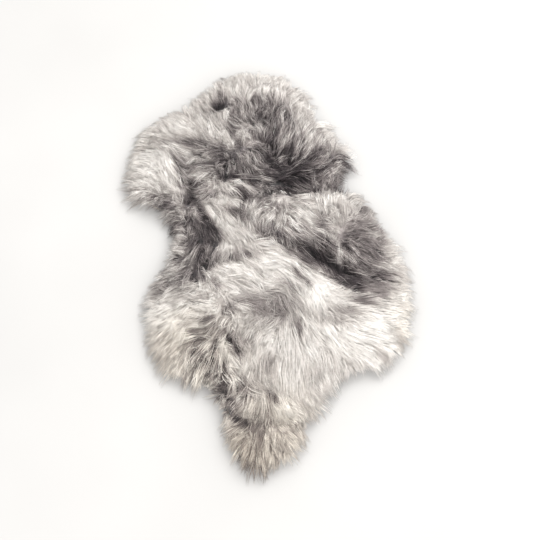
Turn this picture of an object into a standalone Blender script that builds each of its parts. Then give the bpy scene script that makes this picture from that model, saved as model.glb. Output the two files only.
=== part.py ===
"""Sheepskin rug: one long-wooled grey pelt, laid out on the floor. Metres, +Z up, neck end towards +Y.

The pelt is one solid. Its underside is the flat tanned hide, on it stands a lumpy slab of wool, and
round the rim the slab's side faces are drawn out into two rows of locks. The lower row lies level on
the floor and the upper row hangs over it. The origin is in the middle of the hide's underside.
"""

import math

import bmesh
import bpy
import numpy as np
from mathutils import Vector, noise
from mathutils.geometry import delaunay_2d_cdt

# The wool's depth
RIM_DEPTH = 0.044  # where the slab's top meets its rounded side
WOOL_DEPTH = 0.058  # in the middle, between folds and lumps
LEAST_DEPTH = 0.030  # where a parting opens the wool
SHOULDER = 0.085  # how far in from the hide's edge the wool reaches its full depth

# Lumps of wool, each a handful of staples that lie over the next lump, as shingles do
LUMP_PITCH = 0.056
LUMP_STRETCH = 1.5  # their length along the pelt, in widths
LUMP_RISE = 0.020
LUMP_LEAN = 0.8  # how much higher a lump is at its tip than at its root, as a share of its rise
RIM_LIE = 0.16  # how far in from the hide's edge the wool starts to turn outwards

# The rim's locks
LOCK_PITCH = 0.0252  # along the hide's edge, which makes 144 locks a row
LOCK_PITCH_SPREAD = 0.35  # a share of it
LOCK_LENGTH = 0.034
LOCK_LENGTH_SPREAD = 0.012
LOCK_SWING = math.radians(24)  # how far a lock's tip turns from straight out
LOCK_SWING_PITCH = 0.11  # the distance along the edge in which the swing changes side
CROWDED_BELOW = 0.75  # tips nearer to each other than this share of the pitch make shorter locks
SHORTEST_CROWDED = 0.45  # the share of their length that the most crowded locks keep
SEED = 14

# How a lock narrows and thins. Heights are those of its lower and upper edge above the floor.
LOWER_LOCK = (
    # share of its length, half width as a share of the room there, low, high
    (0.34, 0.40, 0.0, 0.0125),
    (0.70, 0.31, 0.0, 0.0090),
    (1.00, 0.10, 0.0, 0.0040),
)
UPPER_LOCK = (
    # share of its length, half width as a share of the room there, low, high
    (0.34, 0.38, 0.0165, 0.0310),
    (0.70, 0.29, 0.0145, 0.0250),
    (1.00, 0.09, 0.0120, 0.0160),
)
UPPER_LOCK_REACH = 0.85  # the upper locks' length as a share of the lower ones'

TOP_PITCH = 0.0180  # between the points of the slab's top

# The hide's edge, clockwise from the neck end. Each row is a place on the pelt.
HIDE_EDGE = (
    # place, x, y
    ("neck end", -0.035, 0.552),
    ("neck right corner", 0.036, 0.539),
    ("neck right side", 0.091, 0.484),
    ("right shoulder", 0.126, 0.407),
    ("right foreleg front", 0.172, 0.347),
    ("right foreleg tip", 0.205, 0.293),
    ("right foreleg back", 0.172, 0.208),
    ("right waist", 0.230, 0.150),
    ("right flank", 0.281, 0.070),
    ("right belly", 0.325, -0.010),
    ("right hip", 0.343, -0.105),
    ("right hind leg front", 0.330, -0.202),
    ("right hind leg tip", 0.298, -0.272),
    ("right hind leg back", 0.224, -0.304),
    ("right of the rump", 0.144, -0.348),
    ("rump right side", 0.091, -0.430),
    ("tail right", 0.050, -0.510),
    ("tail end", -0.014, -0.550),
    ("tail left", -0.062, -0.508),
    ("rump left side", -0.090, -0.430),
    ("left of the rump", -0.130, -0.350),
    ("left hind leg tip", -0.234, -0.296),
    ("left hind leg front", -0.272, -0.205),
    ("left hip", -0.270, -0.107),
    ("left belly", -0.236, -0.032),
    ("left waist", -0.220, 0.050),
    ("left flank", -0.250, 0.127),
    ("left foreleg back", -0.304, 0.154),
    ("left foreleg tip", -0.353, 0.203),
    ("left foreleg side", -0.344, 0.299),
    ("left foreleg front", -0.315, 0.372),
    ("left shoulder", -0.249, 0.417),
    ("neck left side", -0.176, 0.474),
    ("neck left corner", -0.110, 0.538),
)

# The slab's rounded side, from the hide's edge up. The first face takes the lower locks, and the
# second the upper ones.
SIDE_RINGS = (
    # ring, out from the hide's edge, height
    ("hide edge", 0.0, 0.0),
    ("over the lower locks", 0.014, 0.015),
    ("over the upper locks", 0.018, 0.033),
    ("shoulder", 0.006, 0.045),
)
TOP_INSET = 0.014  # from the hide's edge in to the edge of the slab's top

# Soft ridges and troughs in the wool, each along a straight run.
FOLDS = (
    # fold, x0, y0, x1, y1, half width, rise
    ("roll over the right flank", 0.010, 0.118, 0.200, 0.122, 0.050, 0.026),
    ("end of that roll", 0.240, 0.085, 0.275, 0.035, 0.044, 0.016),
    ("trough below that roll", 0.090, 0.012, 0.250, -0.085, 0.028, -0.026),
    ("trough behind the left foreleg", -0.225, 0.350, -0.205, 0.150, 0.028, -0.025),
    ("roll beside that trough", -0.195, 0.120, -0.165, 0.020, 0.038, 0.016),
    ("crown of the left foreleg", -0.300, 0.310, -0.225, 0.240, 0.060, 0.014),
    ("hollow of the withers", 0.030, 0.300, 0.095, 0.205, 0.045, -0.026),
    ("crown of the neck", -0.110, 0.500, 0.050, 0.500, 0.055, 0.012),
    ("saddle", -0.080, 0.030, 0.080, -0.020, 0.090, 0.010),
    ("crown of the right hip", 0.170, -0.110, 0.290, -0.140, 0.075, 0.012),
    ("crown of the left hip", -0.220, -0.170, -0.130, -0.090, 0.065, 0.012),
    ("parting on the left hip", -0.165, -0.215, -0.110, -0.310, 0.024, -0.018),
    ("roll of the rump", -0.055, -0.400, 0.070, -0.400, 0.036, 0.012),
    ("crease above the tail", -0.050, -0.452, 0.045, -0.452, 0.022, -0.018),
    ("crown of the tail", -0.030, -0.480, -0.010, -0.470, 0.050, 0.008),
)


def smooth(share):
    """0 below 0 and 1 above 1, with a soft run between."""
    share = np.clip(share, 0, 1)
    return share * share * (3 - 2 * share)


def closed_curve(points, pitch, spread, rng):
    """Points about pitch apart, by a share of spread more or less, along a smooth closed curve."""
    t = np.linspace(0, 1, 24, endpoint=False)[:, None]
    fine = []
    for i in range(len(points)):
        a, b, c, d = (points[(i + k) % len(points)] for k in (-1, 0, 1, 2))
        bend = (2 * a - 5 * b + 4 * c - d) * t**2 + (3 * b - a - 3 * c + d) * t**3
        fine.append(0.5 * (2 * b + (c - a) * t + bend))
    fine = np.concatenate([*fine, points[:1]])
    along = np.concatenate([[0], np.cumsum(np.linalg.norm(np.diff(fine, axis=0), axis=1))])
    steps = 1 + spread * rng.uniform(-1, 1, round(along[-1] / pitch))
    at = along[-1] * (np.cumsum(steps) - steps[0]) / steps.sum()
    return np.stack([np.interp(at, along, fine[:, k]) for k in (0, 1)], axis=1)


def outward(edge):
    """The unit vector straight out of the edge at each of its points, evened over its neighbours."""
    run = np.roll(edge, -2, axis=0) - np.roll(edge, 2, axis=0)
    run += np.roll(edge, -1, axis=0) - np.roll(edge, 1, axis=0)
    out = np.stack([-run[:, 1], run[:, 0]], axis=1)
    return out / np.linalg.norm(out, axis=1)[:, None]


def outward_between(edge, after):
    """The unit vector straight out of the edge halfway to each point's neighbour, evened over two more."""
    run = np.roll(after, -1, axis=0) - np.roll(edge, 1, axis=0)
    out = np.stack([-run[:, 1], run[:, 0]], axis=1)
    return out / np.linalg.norm(out, axis=1)[:, None]


def distance_to_run(points, start, end):
    """How far each point is from the straight run between start and end."""
    run = end - start
    share = np.clip((points - start) @ run / (run @ run), 0, 1)
    return np.linalg.norm(points - start - share[:, None] * run, axis=1)


def lie_of_wool(points, edge, out, inside):
    """The direction in which the wool lies at each point: towards the tail, and outwards near the rim."""
    nearest = np.linalg.norm(points[:, None] - edge[None], axis=2).argmin(axis=1)
    share = (1 - smooth(inside / RIM_LIE))[:, None]
    lie = np.array((0.0, -1.0)) * (1 - share) + out[nearest] * share
    return lie / np.maximum(np.linalg.norm(lie, axis=1), 1e-6)[:, None]


def lump(point, lie):
    """From 0 in the creases between lumps to about 1: a rounded lump that rises towards its tip."""
    x, y = point / LUMP_PITCH
    distances, centres = noise.voronoi(Vector((x, y / LUMP_STRETCH, 0)))
    dome = 1 - (distances[0] / max(distances[1], 1e-6)) ** 2
    from_centre = (x - centres[0].x) * lie[0] + (y - centres[0].y * LUMP_STRETCH) * lie[1]
    return dome * max(1 + LUMP_LEAN * from_centre, 0)


def wool_top(points, edge, out):
    """The height of the wool at each point of the slab's top."""
    inside = np.linalg.norm(points[:, None] - edge[None], axis=2).min(axis=1)
    height = RIM_DEPTH + (WOOL_DEPTH - RIM_DEPTH) * smooth(inside / SHOULDER)
    for _, x0, y0, x1, y1, half_width, fold_rise in FOLDS:
        off = distance_to_run(points, np.array((x0, y0)), np.array((x1, y1)))
        height += fold_rise * np.exp(-((off / half_width) ** 2))
    lies = lie_of_wool(points, edge, out, inside)
    lumps = np.array([lump(point, lie) for point, lie in zip(points, lies)])
    height += smooth(inside / TOP_INSET - 0.4) * LUMP_RISE * (lumps - 0.5)
    return np.maximum(height, LEAST_DEPTH)


def inner_points(edge):
    """The points of a triangular grid that lie well inside the closed edge."""
    low, high = edge.min(axis=0), edge.max(axis=0)
    row_pitch = TOP_PITCH * math.sqrt(3) / 2
    columns, rows = np.arange(low[0], high[0], TOP_PITCH), np.arange(low[1], high[1], row_pitch)
    grid = np.array([(x + (k % 2) * TOP_PITCH / 2, y) for k, y in enumerate(rows) for x in columns])
    nearest = np.linalg.norm(grid[:, None] - edge[None], axis=2).min(axis=1)
    after = np.roll(edge, -1, axis=0)
    crossings = np.zeros(len(grid), int)
    for (x0, y0), (x1, y1) in zip(edge, after):
        spans = (y0 > grid[:, 1]) != (y1 > grid[:, 1])
        with np.errstate(divide="ignore", invalid="ignore"):
            crossings += spans & (grid[:, 0] < (x1 - x0) * (grid[:, 1] - y0) / (y1 - y0) + x0)
    return grid[(crossings % 2 == 1) & (nearest > 0.62 * TOP_PITCH)]


def fill(bm, rim, inner, heights):
    """Fills the closed row of vertices rim with triangles, which also use the inner points."""
    flat = [Vector((v.co.x, v.co.y)) for v in rim] + [Vector(p) for p in inner]
    edges = [(i, (i + 1) % len(rim)) for i in range(len(rim))]
    triangles = delaunay_2d_cdt(flat, edges, [], 1, 1e-7)[2]
    verts = list(rim) + [bm.verts.new((x, y, z)) for (x, y), z in zip(inner, heights)]
    return [bm.faces.new([verts[i] for i in triangle]) for triangle in triangles]


def turned(headings, angles):
    """The headings, each turned by its own angle."""
    cos, sin = np.cos(angles), np.sin(angles)
    x, y = headings.T
    return np.stack([x * cos - y * sin, x * sin + y * cos], axis=1)


def draw_out_locks(bm, faces, roots, out, lengths, swings, stages):
    """Draws each four-sided face out into a lock that swings to one side as it narrows to its tip."""
    tips = roots + out * lengths[:, None]
    gaps = np.linalg.norm(np.roll(tips, -1, axis=0) - tips, axis=1)
    crowding = np.minimum(gaps, np.roll(gaps, 1)) / (CROWDED_BELOW * LOCK_PITCH)
    lengths = lengths * np.clip(crowding, SHORTEST_CROWDED, 1)
    rings = [list(face.verts) for face in faces]  # along the edge below, and back above
    for face in faces:
        bm.faces.remove(face)
    for share, width_share, low, high in stages:
        headings = turned(out, swings * share)
        middles = roots + turned(out, swings * share / 2) * (lengths * share)[:, None]
        gaps = np.linalg.norm(np.roll(middles, -1, axis=0) - middles, axis=1)
        half_widths = width_share * np.minimum(np.minimum(gaps, np.roll(gaps, 1)), LOCK_PITCH)
        across = np.stack([headings[:, 1], -headings[:, 0]], axis=1) * half_widths[:, None]
        for i, corners in enumerate(rings):
            near, far = middles[i] - across[i], middles[i] + across[i]
            section = ((near, low), (far, low), (far, high), (near, high))
            further = [bm.verts.new((*at, z)) for at, z in section]
            for k in range(4):
                bm.faces.new((corners[k], corners[(k + 1) % 4], further[(k + 1) % 4], further[k]))
            rings[i] = further
    for corners in rings:
        bm.faces.new(corners)


def pelt_mesh():
    rng = np.random.default_rng(SEED)
    edge = closed_curve(np.array([row[1:] for row in HIDE_EDGE]), LOCK_PITCH, LOCK_PITCH_SPREAD, rng)
    out = outward(edge)
    count = len(edge)
    bm = bmesh.new()
    rings = []
    for _, ring_out, z in SIDE_RINGS:
        rings.append([bm.verts.new((x, y, z)) for x, y in edge + out * ring_out])
    top_edge = edge - out * TOP_INSET
    top_heights = wool_top(top_edge, edge, out)
    rings.append([bm.verts.new((x, y, z)) for (x, y), z in zip(top_edge, top_heights)])

    bands = []
    for below, above in zip(rings, rings[1:]):
        band = []
        for i in range(count):
            k = (i + 1) % count
            band.append(bm.faces.new((below[i], below[k], above[k], above[i])))
        bands.append(band)

    top = inner_points(top_edge)
    fill(bm, rings[-1], top, wool_top(top, edge, out))
    hide = fill(bm, rings[0], [], [])
    for face in hide:
        face.material_index = 1

    after = np.roll(edge, -1, axis=0)
    middle_out = outward_between(edge, after)
    along = np.arange(count) * LOCK_PITCH / LOCK_SWING_PITCH
    for band, (_, below_out, _), (_, above_out, _), reach, stages in (
        (bands[0], SIDE_RINGS[0], SIDE_RINGS[1], 1.0, LOWER_LOCK),
        (bands[1], SIDE_RINGS[1], SIDE_RINGS[2], UPPER_LOCK_REACH, UPPER_LOCK),
    ):
        roots = (edge + after) / 2 + middle_out * (below_out + above_out) / 2
        lengths = reach * (LOCK_LENGTH + LOCK_LENGTH_SPREAD * rng.uniform(-1, 1, count))
        waves = [noise.noise(Vector((a, above_out / LOCK_LENGTH, 0))) for a in along]
        swings = 2 * LOCK_SWING * np.array(waves)
        draw_out_locks(bm, band, roots, middle_out, lengths, swings, stages)

    bmesh.ops.recalc_face_normals(bm, faces=bm.faces)
    mesh = bpy.data.meshes.new("sheepskin")
    bm.to_mesh(mesh)
    bm.free()
    return mesh


def plain_material(name, colour, roughness):
    material = bpy.data.materials.new(name)
    material.use_nodes = True
    shader = material.node_tree.nodes["Principled BSDF"]
    shader.inputs["Base Color"].default_value = (*colour, 1.0)
    shader.inputs["Roughness"].default_value = roughness
    return material


def main():
    for obj in list(bpy.data.objects):
        bpy.data.objects.remove(obj)
    mesh = pelt_mesh()
    mesh.materials.append(plain_material("silver grey wool", (0.42, 0.40, 0.40), 0.75))
    mesh.materials.append(plain_material("tanned hide", (0.72, 0.64, 0.52), 0.85))
    pelt = bpy.data.objects.new("sheepskin", mesh)
    bpy.context.scene.collection.objects.link(pelt)


main()
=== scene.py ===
"""The looks of a sheepskin rug: one grey, long-woolled pelt that lies on the floor, wool side up.

It is a tanned hide, the dense short wool that stands on it, and the long wool, whose hairs hang
together in staples. The staples lie over each other like shingles and fall outwards round the rim.
Metres, +Z up, the neck end towards +Y.
"""

import math

import bpy
import numpy as np
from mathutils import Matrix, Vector, noise
from mathutils.bvhtree import BVHTree


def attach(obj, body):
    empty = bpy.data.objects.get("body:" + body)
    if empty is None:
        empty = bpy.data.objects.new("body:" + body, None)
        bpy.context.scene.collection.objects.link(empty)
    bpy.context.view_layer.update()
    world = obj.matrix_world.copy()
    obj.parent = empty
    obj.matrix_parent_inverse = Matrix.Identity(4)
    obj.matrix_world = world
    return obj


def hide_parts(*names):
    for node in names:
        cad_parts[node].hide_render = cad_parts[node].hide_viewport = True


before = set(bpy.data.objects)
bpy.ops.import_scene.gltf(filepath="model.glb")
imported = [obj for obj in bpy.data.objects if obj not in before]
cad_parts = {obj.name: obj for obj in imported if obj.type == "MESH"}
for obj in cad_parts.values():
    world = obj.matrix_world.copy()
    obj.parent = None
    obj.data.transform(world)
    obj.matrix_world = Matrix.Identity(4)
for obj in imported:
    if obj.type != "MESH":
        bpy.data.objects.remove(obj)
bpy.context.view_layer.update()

SEED = 11

# The edge of the hide, clockwise from the neck end
HIDE_EDGE = (
    # place, x, y
    ("neck end", -0.035, 0.552),
    ("neck right corner", 0.036, 0.539),
    ("neck right side", 0.091, 0.484),
    ("right shoulder", 0.126, 0.407),
    ("right foreleg front", 0.172, 0.347),
    ("right foreleg tip", 0.205, 0.293),
    ("right foreleg back", 0.172, 0.208),
    ("right waist", 0.230, 0.150),
    ("right flank", 0.281, 0.070),
    ("right belly", 0.325, -0.010),
    ("right hip", 0.343, -0.105),
    ("right hind leg front", 0.330, -0.202),
    ("right hind leg tip", 0.298, -0.272),
    ("right hind leg back", 0.224, -0.304),
    ("right of the rump", 0.144, -0.348),
    ("rump right side", 0.091, -0.430),
    ("tail right", 0.050, -0.510),
    ("tail end", -0.014, -0.550),
    ("tail left", -0.062, -0.508),
    ("rump left side", -0.090, -0.430),
    ("left of the rump", -0.130, -0.350),
    ("left hind leg tip", -0.234, -0.296),
    ("left hind leg front", -0.272, -0.205),
    ("left hip", -0.270, -0.107),
    ("left belly", -0.236, -0.032),
    ("left waist", -0.220, 0.050),
    ("left flank", -0.250, 0.127),
    ("left foreleg back", -0.304, 0.154),
    ("left foreleg tip", -0.353, 0.203),
    ("left foreleg side", -0.344, 0.299),
    ("left foreleg front", -0.315, 0.372),
    ("left shoulder", -0.249, 0.417),
    ("neck left side", -0.176, 0.474),
    ("neck left corner", -0.110, 0.538),
)

# In the tables whose names start with PHOTO, places and reaches were read from the photo. They are
# in its pixels, u to the right and v down, and on_pelt turns them into metres. Headings are in degrees as
# the photo shows them, 0 to the right and 90 towards the neck.

# Which way the wool lies
PHOTO_FLOW = (
    # place, u, v, heading
    ("neck end, left", 228, 84, 112),
    ("neck end", 250, 80, 100),
    ("neck end, right", 275, 86, 82),
    ("neck end corner", 298, 94, 45),
    ("dark tuft", 220, 98, 105),
    ("neck left", 205, 118, 122),
    ("left shoulder front", 188, 122, 138),
    ("left shoulder", 165, 128, 150),
    ("left shoulder edge", 147, 140, 172),
    ("below the left shoulder", 190, 145, 172),
    ("below the tuft", 216, 124, 112),
    ("neck fold", 238, 112, 100),
    ("neck middle", 262, 108, 78),
    ("neck right", 290, 112, 75),
    ("withers left", 245, 132, 125),
    ("withers slope", 256, 156, -55),
    ("left of the withers", 208, 156, 178),
    ("streaks", 206, 172, 182),
    ("pale roll, left", 205, 183, 205),
    ("pale roll", 226, 187, -12),
    ("hollow, top", 282, 145, 85),
    ("hollow", 285, 166, 60),
    ("hollow, right", 305, 170, -10),
    ("hollow, foot", 292, 186, -70),
    ("right shoulder front", 305, 128, 68),
    ("right shoulder", 324, 148, 76),
    ("right shoulder, middle", 333, 168, 84),
    ("right shoulder edge", 350, 152, 45),
    ("right foreleg, back", 347, 180, -25),
    ("left foreleg, crown", 158, 160, 152),
    ("left foreleg, crown right", 178, 172, 120),
    ("left foreleg, front", 138, 164, 192),
    ("left foreleg, middle", 152, 182, 150),
    ("left foreleg, outer", 128, 195, 170),
    ("left foreleg, inner", 163, 200, 142),
    ("left foreleg, back", 168, 216, 112),
    ("valley, top", 188, 180, 108),
    ("dark roll, top", 202, 212, -55),
    ("dark roll, crown", 214, 228, -78),
    ("dark roll", 204, 248, -98),
    ("dark roll, side", 188, 234, 178),
    ("left waist edge", 172, 244, 215),
    ("left waist", 178, 262, 220),
    ("dark roll foot", 212, 264, -15),
    ("white edge", 218, 214, -38),
    ("saddle", 240, 214, -35),
    ("saddle, low", 232, 232, -55),
    ("saddle foot", 226, 250, 202),
    ("saddle front", 246, 250, 0),
    ("white tuft", 250, 198, -80),
    ("roll, left end", 260, 218, -108),
    ("roll, crown left", 272, 200, 195),
    ("roll, crown", 290, 208, -35),
    ("white tufts", 306, 197, 118),
    ("white tufts, right", 332, 200, 84),
    ("roll, right end", 354, 204, 55),
    ("roll, face", 290, 226, -40),
    ("roll, face right", 312, 238, -42),
    ("flank, top", 328, 220, 105),
    ("flank, left", 330, 242, -125),
    ("right flank edge, top", 372, 218, 30),
    ("right flank", 362, 238, 4),
    ("right flank edge", 388, 246, 8),
    ("parted wisp", 341, 252, -85),
    ("right flank, left", 354, 250, -4),
    ("trough", 325, 258, -38),
    ("trough end", 352, 274, -15),
    ("right belly front", 385, 272, -12),
    ("back left", 228, 268, -18),
    ("back", 262, 260, -36),
    ("back, slope", 288, 262, -44),
    ("back, end", 303, 277, -52),
    ("left back, low", 240, 290, -14),
    ("bright swirl", 309, 300, -82),
    ("bright swirl, right", 332, 289, 38),
    ("right belly", 345, 302, 2),
    ("right belly edge", 385, 300, -4),
    ("swirl foot", 322, 326, -32),
    ("left flank", 192, 288, 200),
    ("left flank edge", 160, 288, 205),
    ("left belly", 168, 310, 218),
    ("left belly edge", 150, 330, 235),
    ("left hip curls", 208, 312, 205),
    ("mauve patch", 272, 310, 222),
    ("mauve patch, right", 295, 302, -72),
    ("mauve patch foot", 256, 328, -115),
    ("mid rump", 298, 334, -92),
    ("rump, right top", 317, 344, -84),
    ("right hip", 352, 326, -20),
    ("right hip edge", 398, 322, -4),
    ("right hip low", 352, 348, -32),
    ("right hind leg", 388, 350, -30),
    ("right hind leg, low", 345, 372, -50),
    ("left hip", 168, 345, -122),
    ("left hip low", 180, 374, -115),
    ("fan, far left", 190, 352, -118),
    ("fan, left", 201, 342, -128),
    ("fan, middle", 212, 352, -92),
    ("fan", 225, 350, -66),
    ("fan, right", 236, 346, -50),
    ("fan low", 234, 370, -66),
    ("rump, left", 258, 345, -112),
    ("rump", 266, 366, -92),
    ("rump middle", 292, 352, -94),
    ("rump right", 318, 362, -86),
    ("rump low right", 325, 388, -68),
    ("rump low", 275, 382, -90),
    ("left of the tail", 225, 398, -130),
    ("tail head left", 248, 402, -134),
    ("tail head", 278, 398, -46),
    ("tail head right", 302, 404, -62),
    ("tail left", 232, 438, -115),
    ("tail", 260, 440, -92),
    ("tail right", 292, 440, -72),
    ("tail end left", 230, 462, -145),
    ("tail end", 252, 470, -105),
    ("tail end right", 282, 462, -80),
)
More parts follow.
